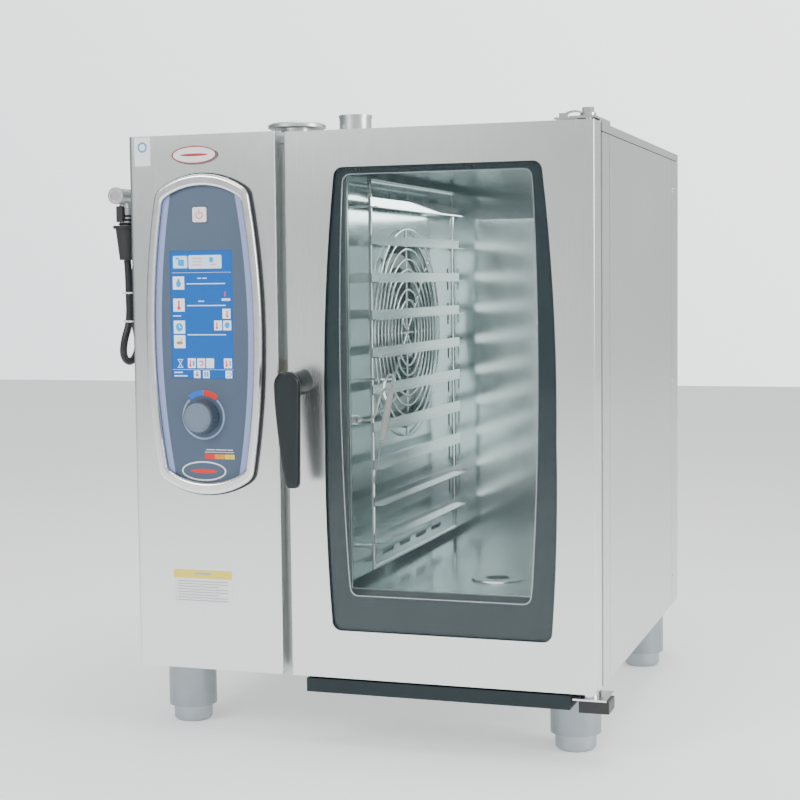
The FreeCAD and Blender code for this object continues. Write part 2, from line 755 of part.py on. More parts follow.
def fan_wheel():
    """A welded radial wheel: a back disc, straight blades, a front ring and its shaft."""
    back = BAFFLE - 14 - S.fan_width
    wheel = body("FanWheel", (back, FAN_Y, FAN_Z), TURN_TO["x"])
    radius = S.fan_diameter / 2
    disc_sketch = sketch(wheel, "XY_Plane", "BackDisc")
    disc(disc_sketch, (0, 0), radius)
    pad(wheel, disc_sketch, 2, "Disc")
    ring_sketch = sketch(wheel, "XY_Plane", "FrontRing", S.fan_width - 2)
    disc(ring_sketch, (0, 0), radius, "outer")
    disc(ring_sketch, (0, 0), radius - 26, "inner")
    blade_sketch = sketch(wheel, "XY_Plane", "Blade")
    rectangle(blade_sketch, (radius - 48, -1), (radius - 1, 1))
    blade = pad(wheel, blade_sketch, S.fan_width - 1, "BladePad")
    blades = wheel.newObject("PartDesign::PolarPattern", "Blades")
    blades.Originals = [blade]
    blades.Axis = (blade_sketch, ["N_Axis"])
    blades.Angle = 360
    blades.Occurrences = BLADE_COUNT
    wheel.Tip = blades
    DOC.recompute()
    pad(wheel, ring_sketch, 2, "Ring")
    hub_sketch = sketch(wheel, "XY_Plane", "Hub", -8)
    disc(hub_sketch, (0, 0), 24)
    pad(wheel, hub_sketch, 34, "HubPad")
    shaft_sketch = sketch(wheel, "XY_Plane", "Shaft", -8)
    disc(shaft_sketch, (0, 0), S.fan_shaft_diameter / 2)
    reach = back - PARTITION + 60
    pad(wheel, shaft_sketch, reach - 8, "ShaftPad", True)
    return node("fan_wheel", wheel)


def heating_coil():
    """Three tubular heater rings round the fan, with their tails through the wall."""
    middle = BAFFLE - 14 - S.fan_width / 2
    heaters = []
    for turn in range(3):
        across = middle - 12 + turn * 12
        loop = ring((across, FAN_Y, FAN_Z), S.fan_diameter / 2 + 22, 4.2)
        heaters.append(loop)
    tails = []
    for side in (-8, 8):
        tails.append(rod((LEFT + S.cavity_left - 18, FAN_Y + side, FAN_Z - S.fan_diameter / 2 - 22),
                         middle - LEFT - S.cavity_left + 34, 3.6, "x"))
    return node("heating_coil", join(heaters + tails, "Heater"))


def rack(label, across, toward):
    """A hanging tray rack: two uprights with ten rails, and a hoop at the top and the bottom."""
    radius = S.rack_rod_diameter / 2
    low = CAVITY_FLOOR + 26
    high = CAVITY_CEILING - 16
    front = FRONT + S.rack_front + 8
    rear = FRONT + S.rack_front + S.rack_length - 30
    pieces = [rod((across, front, low), high - low, radius), rod((across, rear, low), high - low, radius)]
    for height in (low, high - S.rack_rod_diameter):
        pieces.append(rod((across, front, height + radius), rear - front, radius, "y"))
    for row in range(RAIL_COUNT):
        top = BOTTOM + S.top_rail_height - row * S.rack_pitch + S.rail_height / 2
        foot = top - S.rail_height
        face = across + toward * (radius - 0.6)
        out = face + toward * 1.5
        tip = face + toward * S.rail_ledge
        start = FRONT + S.rack_front
        stop = start + S.rack_length
        near, far = (face, out) if toward > 0 else (out, face)
        pieces.append(box((near, start, foot), (far, stop, top)))
        near, far = (face, tip) if toward > 0 else (tip, face)
        pieces.append(box((near, start, foot), (far, stop, foot + 1.5)))
    return node(label, join(pieces, label.title()))


def drain_pipe():
    """The drain: a funnel under the cavity floor, an elbow and a tail out of the back."""
    across = LEFT + S.drain_across
    depth = FRONT + S.drain_depth
    outer = S.drain_diameter / 2
    inner = outer - 1.5
    low = BOTTOM + DRAIN_HEIGHT
    top = CAVITY_FLOOR
    drop = rod((across, depth, low), top - low, outer)
    tail = rod((across, depth, low), REAR + 4 - depth, outer - 1, "y")
    spigot = rod((across, REAR + 3, low), S.reach_back - 3, outer, "y")
    drop_bore = rod((across, depth, low), top - low + 1, inner)
    tail_bore = rod((across, depth, low), REAR + S.reach_back - depth + 1, inner, "y")
    elbow = DOC.addObject("Part::Sphere", "Elbow")
    bind(elbow, Radius=outer)
    place(elbow, (across, depth, low))
    elbow_bore = DOC.addObject("Part::Sphere", "ElbowBore")
    bind(elbow_bore, Radius=inner)
    place(elbow_bore, (across, depth, low))
    return node("drain_pipe", cut(join([drop, tail, spigot, elbow]), [drop_bore, tail_bore, elbow_bore]))


def drain_strainer():
    """A pierced cup that drops into the drain and lifts out for cleaning."""
    cup = body("Strainer", (LEFT + S.drain_across, FRONT + S.drain_depth, CAVITY_FLOOR))
    profile = sketch(cup, "XZ_Plane", "StrainerProfile")
    bore = S.drain_diameter / 2 - 1.5 - 1
    rim = S.drain_diameter / 2 + 22
    outline(profile, [(0, -24), (bore, -24), (bore, 0.4), (rim, 0.4), (rim - 2, 3), (0, 3)])
    revolve(cup, profile)
    well = sketch(cup, "XY_Plane", "Well", 3)
    disc(well, (0, 0), bore - 1.5)
    pocket(cup, well, 25.5, "WellPocket")
    holes = sketch(cup, "XY_Plane", "Holes", -20)
    disc(holes, (bore * 0.55, 0), 3)
    hole = pocket(cup, holes, 8, "Hole")
    ring_of_holes = cup.newObject("PartDesign::PolarPattern", "HoleRing")
    ring_of_holes.Originals = [hole]
    ring_of_holes.Axis = (holes, ["N_Axis"])
    ring_of_holes.Angle = 360
    ring_of_holes.Occurrences = 8
    cup.Tip = ring_of_holes
    DOC.recompute()
    return node("drain_strainer", cup)


def flue_pipe():
    """The vent pipe from the cavity's ceiling up through the cover."""
    foot = (LEFT + S.flue_across, FRONT + S.flue_depth, CAVITY_CEILING + S.liner_wall)
    length = TOP + S.flue_rise - foot[2]
    outer = S.flue_diameter / 2
    pipe = tube(foot, length, outer, outer - 2)
    bead = tube((foot[0], foot[1], TOP + S.flue_rise - 5), 5, outer + 1.2, outer - 1)
    return node("flue_pipe", join([pipe, bead]))


def top_vent_cap():
    """A low pressed dome on three short legs over the column's air vent."""
    cap = body("VentCap", (LEFT + S.vent_cap_across, FRONT + S.vent_cap_depth, TOP))
    profile = sketch(cap, "XZ_Plane", "CapProfile")
    wide = S.vent_cap_diameter / 2
    rise = S.vent_cap_rise
    outline(profile, [(0, 0), (28, 0), (28, rise - 10), (wide - 4, rise - 10), (wide, rise - 8),
                      (wide, rise - 3), (wide - 6, rise), (0, rise)])
    revolve(cap, profile)
    return node("top_vent_cap", cap)


# ---------------------------------------------------------------- hinges, drip tray and door

def top_hinge_bracket():
    """The upper hinge: an arm bolted to the cover, the pin and its bolt, and the arched stay."""
    arm_low = TOP + 3
    arm = box((RIGHT - 42, FRONT + 10, arm_low), (RIGHT, FRAME_FRONT + 70, arm_low + 4))
    foot = box((RIGHT - 42, FRAME_FRONT + 4, TOP), (RIGHT, FRAME_FRONT + 70, arm_low))
    pin = rod((HINGE_X, HINGE_Y, TOP - 22), 34, S.hinge_pin_diameter / 2)
    collar = rod((HINGE_X, HINGE_Y, arm_low + 4), 5, 13)
    head = hexagon((HINGE_X, HINGE_Y, arm_low + 9), 9, 10)
    arch_outer = rod((HINGE_X - 22, HINGE_Y - 5, arm_low + 4 - 20), 10, 30, "y")
    arch_inner = rod((HINGE_X - 22, HINGE_Y - 6, arm_low + 4 - 20), 12, 27.5, "y")
    arch_room = box((HINGE_X - 60, HINGE_Y - 8, arm_low - 60), (HINGE_X + 20, HINGE_Y + 8, arm_low + 3.8))
    arch = cut(arch_outer, [arch_inner, arch_room], "Arch")
    block = box((HINGE_X - 46, HINGE_Y - 8, TOP + 3), (HINGE_X - 34, HINGE_Y + 8, TOP + 13))
    plate = box((HINGE_X - 52, FRONT + 10, arm_low), (RIGHT - 42, FRONT + 56, arm_low + 2.5))
    return node("top_hinge_bracket", join([arm, foot, pin, collar, head, arch, block, plate]))


def bottom_hinge_bracket():
    """The lower hinge: a steel plate under the chassis and the pin that the door stands on."""
    reach = RIGHT + S.reach_right - 4
    behind = FRAME_FRONT + 11.5
    plate = box((RIGHT - 40, FRONT + 6, BOTTOM - 12), (reach, FRAME_FRONT - 6.5, BOTTOM - 9))
    heel = box((RIGHT - 20, FRAME_FRONT - 12.5, BOTTOM - 12), (reach, behind, BOTTOM - 9))
    riser = box((RIGHT - 20, FRAME_FRONT + 3, BOTTOM - 12), (RIGHT - 4, behind, BOTTOM))
    washer = rod((HINGE_X, HINGE_Y, BOTTOM - 9), 7.6, 15)
    pin = rod((HINGE_X, HINGE_Y, BOTTOM - 10), 32, S.hinge_pin_diameter / 2)
    return node("bottom_hinge_bracket", join([plate, heel, riser, washer, pin]))


def bottom_hinge_cover():
    """The black block under the lower hinge plate."""
    block = box((RIGHT - 30, FRONT + 8, BOTTOM - 32),
                (RIGHT + S.reach_right, FRAME_FRONT - 6.5, BOTTOM - 12.1))
    return node("bottom_hinge_cover", block)


def drip_tray():
    """A trough under the door that leads drips back to the chassis."""
    low = (DOOR_LEFT + 28, FRONT - 3, BOTTOM - 26)
    high = (RIGHT - 42, FRAME_FRONT - 8.5, BOTTOM - 2.5)
    behind = FRAME_FRONT + 11.5
    inner_low = (low[0] + WALL, low[1] + WALL, low[2] + WALL)
    inner_high = (high[0] - WALL, high[1] - WALL, high[2] + 5)
    shell = cut(box(low, high), [box(inner_low, inner_high)])
    hanger = box((low[0], high[1] - WALL, high[2] - WALL), (RIGHT - 110, behind, high[2]))
    heel = box((low[0], behind - 6, high[2] - WALL), (RIGHT - 110, behind, BOTTOM))
    return node("drip_tray", join([shell, hanger, heel]))


def door_body(name, lift=0):
    """Start a door piece whose sketches are drawn from the window's middle line and the door's foot."""
    across = DOOR_LEFT + S.window_centre_from_door
    return body(name, (across, FRONT + lift, BOTTOM))


def door_edges():
    """The door's left and right edges, measured from the window's middle line."""
    left = -S.window_centre_from_door
    right = S.cabinet_width - S.column_width - S.door_side_gap - S.window_centre_from_door
    return left, right


def door_skin():
    """The pressed outer skin of the door: front, four returns and the window opening."""
    skin = door_body("DoorSkin")
    left, right = door_edges()
    depth = S.door_thickness - 6
    front = sketch(skin, "XZ_Plane", "DoorFront")
    rectangle(front, (left, 0), (right, S.body_height))
    pad(skin, front, depth, "DoorBlock", True)
    soften(skin, S.door_edge_radius,
           lambda edge: lies_at(edge, "y", 0) and runs_along(edge, Vector(0, 0, 1)), "DoorEdge")
    inside = sketch(skin, "XZ_Plane", "DoorInside", -depth)
    rectangle(inside, (left + WALL, WALL), (right - WALL, S.body_height - WALL))
    pocket(skin, inside, depth - WALL, "Hollow", True)
    opening = sketch(skin, "XZ_Plane", "WindowOpening", -depth)
    window(opening, 0, 0, 0)
    pocket(skin, opening, depth + 1, "Window", True)
    corners = (float(S.window_low), float(S.window_high))
    soften(skin, S.window_corner_radius,
           lambda edge: runs_along(edge, Vector(0, 1, 0)) and
           min(abs(edge.BoundBox.ZMin - corner) for corner in corners) < 0.01 and
           abs(edge.BoundBox.XMin) < float(S.window_middle_half) + 1, "WindowCorners")
    across = right - S.hinge_from_right
    pins = sketch(skin, "XY_Plane", "PinHoles")
    disc(pins, (across, S.hinge_from_front), S.hinge_pin_diameter / 2 + S.shaft_clearance)
    pocket(skin, pins, S.body_height, "PinHolePocket", True)
    return node("door_skin", skin)


def hinge_bushes():
    """Two steel bushes inside the door that turn on the hinge pins."""
    bore = S.hinge_pin_diameter / 2 + S.shaft_clearance
    bushes = []
    for foot in (BOTTOM + WALL, TOP - WALL - 22):
        bushes.append(tube((HINGE_X, HINGE_Y, foot), 22, 11, bore))
    return node("hinge_bushes", group(bushes))


def pane(label, lift, thickness, shrink_side, shrink_top, shrink_bottom, corner):
    """A flat pane with the window's outline, grown or shrunk by its margins."""
    glass = door_body(label.title().replace("_", ""), lift)
    drawing = sketch(glass, "XZ_Plane", "PaneOutline")
    window(drawing, shrink_side, shrink_top, shrink_bottom)
    pad(glass, drawing, thickness, "Pane", True)
    low = float(S.window_low) + float(shrink_bottom)
    high = float(S.window_high) - float(shrink_top)
    soften(glass, corner,
           lambda edge: runs_along(edge, Vector(0, 1, 0)) and
           (abs(edge.BoundBox.ZMin - low) < 0.01 or abs(edge.BoundBox.ZMin - high) < 0.01), "PaneCorners")
    return node(label, glass)


def door_liner():
    """The door's inner pan: a flat frame that closes its back, with a hole for the inner glass."""
    liner = door_body("DoorLiner", S.door_thickness - 6 + 0.1)
    left, right = door_edges()
    back = sketch(liner, "XZ_Plane", "LinerBack")
    rectangle(back, (left + 2, 2), (right - 2, S.body_height - 2))
    pad(liner, back, 5.9, "LinerPlate", True)
    hole = sketch(liner, "XZ_Plane", "GlassHole", 1)
    half = S.inner_window_half
    rectangle(hole, (-half, S.inner_window_low), (half, S.inner_window_high))
    pocket(liner, hole, 8, "GlassPocket")
    shaft = sketch(liner, "XZ_Plane", "ShaftHole", 1)
    across = S.handle_across - S.column_width - S.door_side_gap - S.window_centre_from_door
    disc(shaft, (across, S.handle_height), S.handle_shaft_diameter / 2 + 1)
    pocket(liner, shaft, 8, "ShaftPocket")
    return node("door_liner", liner)


def inner_glass():
    """The inner pane in its rubber-edged clips, behind the outer pane."""
    across = DOOR_LEFT + S.window_centre_from_door
    lift = FRONT + S.door_thickness - 14
    half = S.inner_window_half + S.inner_pane_lap
    glass = box((across - half, lift, BOTTOM + S.inner_window_low - S.inner_pane_lap),
                (across + half, lift + S.pane_thickness, BOTTOM + S.inner_window_high + S.inner_pane_lap))
    return node("inner_glass", glass)


# ---------------------------------------------------------------- handle and latch

def handle_boss():
    """The round escutcheon on the door face that carries the handle's shaft."""
    reach = S.lever_standoff - 6
    start = (HANDLE_X, FRONT - reach, HANDLE_Z)
    shell = taper(start, reach, S.boss_diameter / 2 - 5, S.boss_diameter / 2, "y")
    bore = rod((HANDLE_X, FRONT - reach - 1, HANDLE_Z), reach + 2,
               S.handle_shaft_diameter / 2 + S.shaft_clearance, "y")
    return node("handle_boss", cut(shell, [bore]))


def handle_lever():
    """A moulded lever that hangs from the boss, wide at the head and narrow at the tip."""
    lever = body("Lever", (HANDLE_X, FRONT - S.lever_standoff, HANDLE_Z))
    drawing = sketch(lever, "XZ_Plane", "LeverOutline")
    head = S.lever_head_width / 2
    tip = S.lever_tip_width
    foot = S.lever_head_width / 2 + S.lever_tip_width / 2 - S.lever_length
    outline(drawing, [(head, 0), (-head, 0), (head - tip, foot), (head, foot)],
            [head + 0.1, 900, tip / 2 + 0.2, None])
    arm = pad(lever, drawing, S.lever_thickness, "LeverPad")
    arm.TaperAngle = -6
    DOC.recompute()
    return node("handle_lever", lever)


def handle_shaft():
    """The spindle that turns in the boss, through the door, with the latch hook on its inner end."""
    start = FRONT - S.lever_standoff - 0.1
    end = FRONT + S.door_thickness + 0.9
    spindle = rod((HANDLE_X, start, HANDLE_Z), end - start, S.handle_shaft_diameter / 2, "y")
    hub = rod((HANDLE_X, end, HANDLE_Z), S.latch_thickness, 10, "y")
    hook = box((HANDLE_X - 4, end, HANDLE_Z), (HANDLE_X + 4, end + S.latch_thickness, HANDLE_Z + 26))
    return node("handle_shaft", join([spindle, hub, hook], "Spindle"))


def door_skin_shaft_hole(skin):
    """Drill the handle's hole through the door skin's front."""
    across = S.handle_across - S.column_width - S.door_side_gap - S.window_centre_from_door
    drawing = sketch(skin, "XZ_Plane", "HandleHole", 1)
    disc(drawing, (across, S.handle_height), S.handle_shaft_diameter / 2 + 1)
    pocket(skin, drawing, 8, "HandleHolePocket")


# ---------------------------------------------------------------- control panel

def control_bezel():
    """The bright ring round the control panel, rounded over at its front."""
    bezel = body("Bezel", (PANEL_X, FRONT - 0.1, PANEL_Z))
    drawing = sketch(bezel, "XZ_Plane", "BezelOuter")
    barrel(drawing, 0)
    pad(bezel, drawing, S.bezel_height, "BezelPad")
    soften(bezel, 26, lambda edge: runs_along(edge, Vector(0, 1, 0)), "BezelCorners")
    inner = sketch(bezel, "XZ_Plane", "BezelInner", S.bezel_height + 1)
    barrel(inner, S.bezel_ring_width)
    pocket(bezel, inner, S.bezel_height + 2, "BezelHole")
    tall = float(S.bezel_corner_half_height) - 20
    inside = float(S.bezel_corner_half_width) - float(S.bezel_ring_width) + 1
    soften(bezel, 16, lambda edge: runs_along(edge, Vector(0, 1, 0)) and
           abs(edge.BoundBox.XMin) < inside and abs(edge.BoundBox.ZMin) > tall, "HoleCorners")
    front = -S.bezel_height
    soften(bezel, 5, lambda edge: lies_at(edge, "y", front), "BezelRound")
    return node("control_bezel", bezel)


def control_face():
    """The moulded face inside the bezel, with openings for the screen, the button and the dial."""
    face = body("ControlFace", (PANEL_X, FRONT - 0.1, PANEL_Z))
    drawing = sketch(face, "XZ_Plane", "FaceOutline")
    barrel(drawing, S.bezel_ring_width + 0.2)
    pad(face, drawing, S.face_height, "FacePad")
    soften(face, 15, lambda edge: runs_along(edge, Vector(0, 1, 0)), "FaceCorners")
    holes = sketch(face, "XZ_Plane", "FaceHoles", S.face_height + 1)
    screen_x = S.screen_across - S.panel_centre_across
    screen_z = S.screen_middle - S.panel_centre_height
    rectangle(holes, (screen_x - S.screen_width / 2, screen_z - S.screen_height / 2),
              (screen_x + S.screen_width / 2, screen_z + S.screen_height / 2), "screen")
    half = S.button_side / 2 + S.button_clearance
    button_x = S.button_across - S.panel_centre_across
    button_z = S.button_height - S.panel_centre_height
    rectangle(holes, (button_x - half, button_z - half), (button_x + half, button_z + half), "button")
    disc(holes, (S.dial_across - S.panel_centre_across, S.dial_height - S.panel_centre_height), 7, "dial")
    pocket(face, holes, S.face_height + 2, "FaceOpenings")
    return node("control_face", face)


def display():
    """The flat screen behind its glass, level with the panel's face."""
    across = LEFT + S.screen_across
    height = BOTTOM + S.screen_middle
    half_wide = S.screen_width / 2 - 0.2
    half_tall = S.screen_height / 2 - 0.2
    front = FRONT - S.face_height + 0.4
    glass = box((across - half_wide, front, height - half_tall),
                (across + half_wide, FRONT + 9, height + half_tall))
    back = box((across - half_wide - 6, FRONT + 3, height - half_tall - 6),
               (across + half_wide + 6, FRONT + 20, height + half_tall + 6))
    return node("display", join([glass, back]))


def power_button():
    """A square push button with rounded corners, proud of the panel."""
    button = body("PowerButton", (LEFT + S.button_across, FRONT + 6, BOTTOM + S.button_height))
    drawing = sketch(button, "XZ_Plane", "ButtonOutline")
    half = S.button_side / 2
    rectangle(drawing, (-half, -half), (half, half))
    pad(button, drawing, S.face_height + 9, "ButtonPad")
    soften(button, 3.5, lambda edge: runs_along(edge, Vector(0, 1, 0)), "ButtonCorners")
    front = -(S.face_height + 9)
    soften(button, 1, lambda edge: lies_at(edge, "y", front), "ButtonRound")
    return node("power_button", button)


def dial_shaft():
    """The encoder's spindle, which slides in when the dial is pressed."""
    start = (LEFT + S.dial_across, FRONT - 24, BOTTOM + S.dial_height)
    return node("dial_shaft", rod(start, 44, 3, "y"))


def dial_knob():
    """A turned knob with a dished face, pushed on the encoder's spindle."""
    knob = body("DialKnob", (LEFT + S.dial_across, FRONT - S.face_height - 2.4, BOTTOM + S.dial_height),
                Rotation(Vector(1, 0, 0), 90))
    profile = sketch(knob, "XZ_Plane", "KnobProfile")
    wide = S.knob_diameter / 2
    high = S.knob_height
    bore = 3.05
    outline(profile, [(bore, 0), (wide, 0), (wide - 2, high - 4), (wide - 6, high), (wide - 9, high - 2),
                      (0, high - 2), (0, high - 6), (bore, high - 6)])
    revolve(knob, profile)
    return node("dial_knob", knob)


def control_board():
    """The controller: a board on stand-offs with its relays, behind the panel."""
    low = (LEFT + 40, FRAME_FRONT + 26, BOTTOM + 380)
    board = box(low, (LEFT + 240, FRAME_FRONT + 28, BOTTOM + 800))
    parts = [board]
    for row in range(5):
        height = BOTTOM + 410 + row * 72
        parts.append(box((LEFT + 60, FRAME_FRONT + 28, height), (LEFT + 100, FRAME_FRONT + 46, height + 40)))
        parts.append(box((LEFT + 130, FRAME_FRONT + 28, height), (LEFT + 210, FRAME_FRONT + 38, height + 28)))
    return node("control_board", join(parts, "Board"))


def steam_boiler():
    """The steam generator: a flanged steel tank with heater ends and a pipe to the cavity."""
    centre = (LEFT + 140, FRONT + 600)
    tank = rod((centre[0], centre[1], BOTTOM + 90), 230, 88)
    dome = rod((centre[0], centre[1], BOTTOM + 320), 20, 60)
    flange = rod((centre[0], centre[1], BOTTOM + 78), 12, 98)
    reach = LEFT + S.cavity_left - S.liner_wall - 0.5 - centre[0]
    neck = rod((centre[0], FRONT + 560, BOTTOM + 330), reach, 16, "x")
    return node("steam_boiler", join([tank, dome, flange, neck], "Boiler"))


# ---------------------------------------------------------------- hand shower, probe and services

INLET_ACROSS, GLAND_ACROSS, SERVICE_HEIGHT, DRAIN_HEIGHT = 110, 180, 150, 70
SERVICE_HOLES = [(S.drain_across, DRAIN_HEIGHT, S.drain_diameter / 2 + 1),
                 (INLET_ACROSS, SERVICE_HEIGHT, S.inlet_diameter / 2 + 0.8),
                 (GLAND_ACROSS, SERVICE_HEIGHT, S.gland_diameter / 2 + 1)]


def shower_line():
    """The middle line of the stored hand shower."""
    return LEFT - S.shower_out, FRONT + S.shower_depth


def shower_holder():
    """The moulded cone on the left side that the hand shower drops into."""
    across, depth = shower_line()
    foot = BOTTOM + 716
    cone = taper((across, depth, foot), 58, 13.5, 20)
    rim = rod((across, depth, foot + 56), 5, 24)
    hollow = taper((across, depth, foot + 14), 50, 10.8, 15.6)
    passage = rod((across, depth, foot - 1), 20, S.hose_diameter / 2 + 0.2)
    web = box((across, depth - 9, foot + 6), (LEFT, depth + 9, foot + 52))
    plate = box((LEFT - 3, depth - 22, foot - 4), (LEFT, depth + 22, foot + 66))
    return node("shower_holder", cut(join([cone, rim, web, plate]), [hollow, passage]))


def shower_body():
    """The hand shower: a grip in the holder and a barrel head that faces forward."""
    across, depth = shower_line()
    foot = BOTTOM + 731
    grip = taper((across, depth, foot), 78, 10, 13.5)
    neck = taper((across, depth, foot + 78), 14, 13.5, 10)
    head = rod((across, depth - 36, foot + 98), 64, 13.5, "y")
    lip = rod((across, depth - 40, foot + 98), 5, 15, "y")
    face = rod((across, depth - 41, foot + 98), 3, 9.5, "y")
    return node("shower_body", cut(join([grip, neck, head, lip]), [face]))


def shower_trigger():
    """The squeeze lever along the grip's front, pivoted under the head."""
    across, depth = shower_line()
    height = BOTTOM + 783
    lever = box((across - 6, depth - 27, height), (across + 6, depth - 21, height + 28))
    ear = box((across - 4, depth - 25, height + 24), (across + 4, depth - 15, height + 28))
    return node("shower_trigger", join([lever, ear]))


def hose_ties():
    """Two plastic ties that hold the hose's strands together."""
    ties = []
    half = S.hose_diameter / 2 + 1.2
    for height in (606, 657):
        low = (LEFT - 44.3 - half, FRONT + 76.5 - half, BOTTOM + height - 1.6)
        high = (LEFT - 44.3 + half, FRONT + 92.3 + half, BOTTOM + height + 1.6)
        outside = box((low[0] - 1.4, low[1] - 1.4, low[2]), (high[0] + 1.4, high[1] + 1.4, high[2]))
        ties.append(cut(outside, [box((low[0], low[1], low[2] - 1), (high[0], high[1], high[2] + 1))]))
    return node("hose_ties", group(ties))


def hose_fittings():
    """The saddle that the hose hangs over and the elbow that feeds it, both on the left side."""
    saddle_at = (LEFT - 50, FRONT + 226, BOTTOM + 775)
    saddle = tube(saddle_at, 50, 58, 54, "x")
    keep = box((LEFT - 52, FRONT + 226 - 46, BOTTOM + 800), (LEFT + 1, FRONT + 226 + 46, BOTTOM + 840))
    arch = DOC.addObject("Part::Common", "Saddle")
    arch.Base = saddle
    arch.Tool = keep
    lip = box((LEFT - 53, FRONT + 226 - 20, BOTTOM + 822), (LEFT - 50, FRONT + 226 + 20, BOTTOM + 846))
    plate = box((LEFT - 3, FRONT + 226 - 30, BOTTOM + 760), (LEFT, FRONT + 226 + 30, BOTTOM + 834))
    elbow_at = (LEFT - 26, FRONT + 331, BOTTOM + 205)
    stem = rod(elbow_at, 30, 10)
    knee = DOC.addObject("Part::Sphere", "Knee")
    bind(knee, Radius=11)
    place(knee, elbow_at)
    tail = rod(elbow_at, 26, 10, "x")
    rose = rod((LEFT - 5, elbow_at[1], elbow_at[2]), 5, 19, "x")
    elbow = join([stem, knee, tail, rose], "HoseElbow")
    return node("hose_fittings", group([join([arch, lip, plate], "Hook"), elbow]))


# The hose, as distance out from the left side, depth behind the front and height over the body's foot.
HOSE_ROUTE = [
    (46, 76, 716), (45, 77, 694), (44, 76, 657), (44, 77, 606), (50, 64, 572), (55, 68, 543), (54, 92, 529),
    (50, 115, 546), (46, 110, 576), (44, 92, 606), (44, 92.5, 657), (42, 98, 703), (38, 113, 748),
    (35, 134, 790), (34, 160, 828), (34, 200, 852), (34, 247, 855), (33, 290, 832), (32, 318, 794),
    (31, 331, 748), (30, 336, 690), (29, 333, 600), (27, 337, 505), (28, 333, 415), (26, 336, 330),
    (26, 331, 275), (26, 331.1, 235),
]

# The probe's cable, as distance from the casing's left side, depth behind the front and height.
PROBE_ROUTE = [
    (390.1, 96, 433), (402, 95, 432), (414, 94, 439), (419, 93, 456), (424, 92, 476), (436, 90, 490),
    (450, 89, 488), (457, 89.5, 475), (447, 90, 465), (434, 95, 470), (430, 97, 486), (434, 94, 503),
    (445, 87, 515), (455, 81, 509), (453, 78, 496), (449.5, 78, 484),
]


def route_points(route, side):
    """A route's points in the part's frame. Side is -1 for points left of the casing's left side."""
    corner = Vector(float(LEFT), float(FRONT), float(BOTTOM))
    return [corner + Vector(side * across, depth, up) for across, depth, up in route]


def shower_hose():
    points = route_points(HOSE_ROUTE, -1)
    return node("shower_hose", cord_tube(points, float(S.hose_diameter), "ShowerHose"))


def probe_cable():
    points = route_points(PROBE_ROUTE, 1)
    return node("probe_cable", cord_tube(points, float(S.probe_cable_diameter), "ProbeCable"))


def probe_grommet():
    """The gland in the baffle that the probe's cable comes out of, and the bent wire that parks it."""
    start = (BAFFLE + 1.6, FRONT + 96, BOTTOM + 433)
    nut = rod(start, 7, 8, "x")
    nose = taper((start[0] + 7, start[1], start[2]), 5.4, 5, 3.2, "x")
    park_depth = FRONT + 99
    park_height = BOTTOM + 504
    arm = rod((BAFFLE + 1.6, park_depth, park_height), LEFT + 446 - BAFFLE - 1.6, 1.5, "x")
    peg = rod((LEFT + 445, FRONT + 78, park_height), 22, 1.5, "y")
    return node("probe_grommet", group([join([nut, nose]), join([arm, peg], "ParkWire")]))


def hanging_rod(top, direction, length, radius, end_radius, name):
    """A rod that hangs from a point along a slanted line."""
    piece = DOC.addObject("Part::Cone", name)
    bind(piece, Radius1=radius, Radius2=end_radius, Height=length)
    return place(piece, top, Rotation(Vector(0, 0, 1), direction))


PROBE_LEAN = Vector(-0.21, 0, -1)


def probe_handle():
    """The probe's moulded grip, which hangs from its cable."""
    top = (LEFT + 449.5, FRONT + 78, BOTTOM + 484)
    grip = hanging_rod(top, PROBE_LEAN, 84, 5.2, 7, "ProbeGrip")
    return node("probe_handle", grip)


def probe_needle():
    """The thin steel needle under the grip."""
    unit = Vector(PROBE_LEAN).normalize()
    top = (LEFT + 449.5 + unit.x * 84, FRONT + 78, BOTTOM + 484 + unit.z * 84)
    shaft = hanging_rod(top, PROBE_LEAN, 78, 1.8, 1.5, "Needle")
    tip_at = (top[0] + unit.x * 78, top[1], top[2] + unit.z * 78)
    tip = hanging_rod(tip_at, PROBE_LEAN, 6, 1.5, 0.3, "NeedleTip")
    return node("probe_needle", join([shaft, tip]))


def water_inlet():
    """The threaded water connection on the back."""
    start = (LEFT + INLET_ACROSS, REAR - 12, BOTTOM + SERVICE_HEIGHT)
    stub = rod(start, 12 + S.reach_back - 15, S.inlet_diameter / 2, "y")
    nut = rod((start[0], REAR + 0.5, start[2]), 8, 19, "y")
    return node("water_inlet", join([stub, nut]))


def cable_gland():
    """The mains cable's gland on the back."""
    start = (LEFT + GLAND_ACROSS, REAR - 12, BOTTOM + SERVICE_HEIGHT)
    stem = rod(start, 40, S.gland_diameter / 2, "y")
    nut = rod((start[0], REAR + 0.5, start[2]), 12, 17, "y")
    bore = rod((start[0], start[1] - 1, start[2]), 44, 7, "y")
    return node("cable_gland", cut(join([stem, nut]), [bore]))


def casing_screws():
    """Pan-head screws that hold the right side, the left side and the back."""
    screws = []
    for height in (60, 462, 850):
        for across in (RIGHT, LEFT - FASTENER_HEAD):
            place_of = (across, REAR - S.rear_return_depth + 12, BOTTOM + height)
            screws.append(rod(place_of, FASTENER_HEAD, FASTENER_RADIUS, "x"))
    for across in (30, 290, 530, 790):
        for height in (24, 880):
            screws.append(rod((LEFT + across, REAR, BOTTOM + height), FASTENER_HEAD, FASTENER_RADIUS, "y"))
    return node("casing_screws", group(screws))


# ---------------------------------------------------------------- build and export

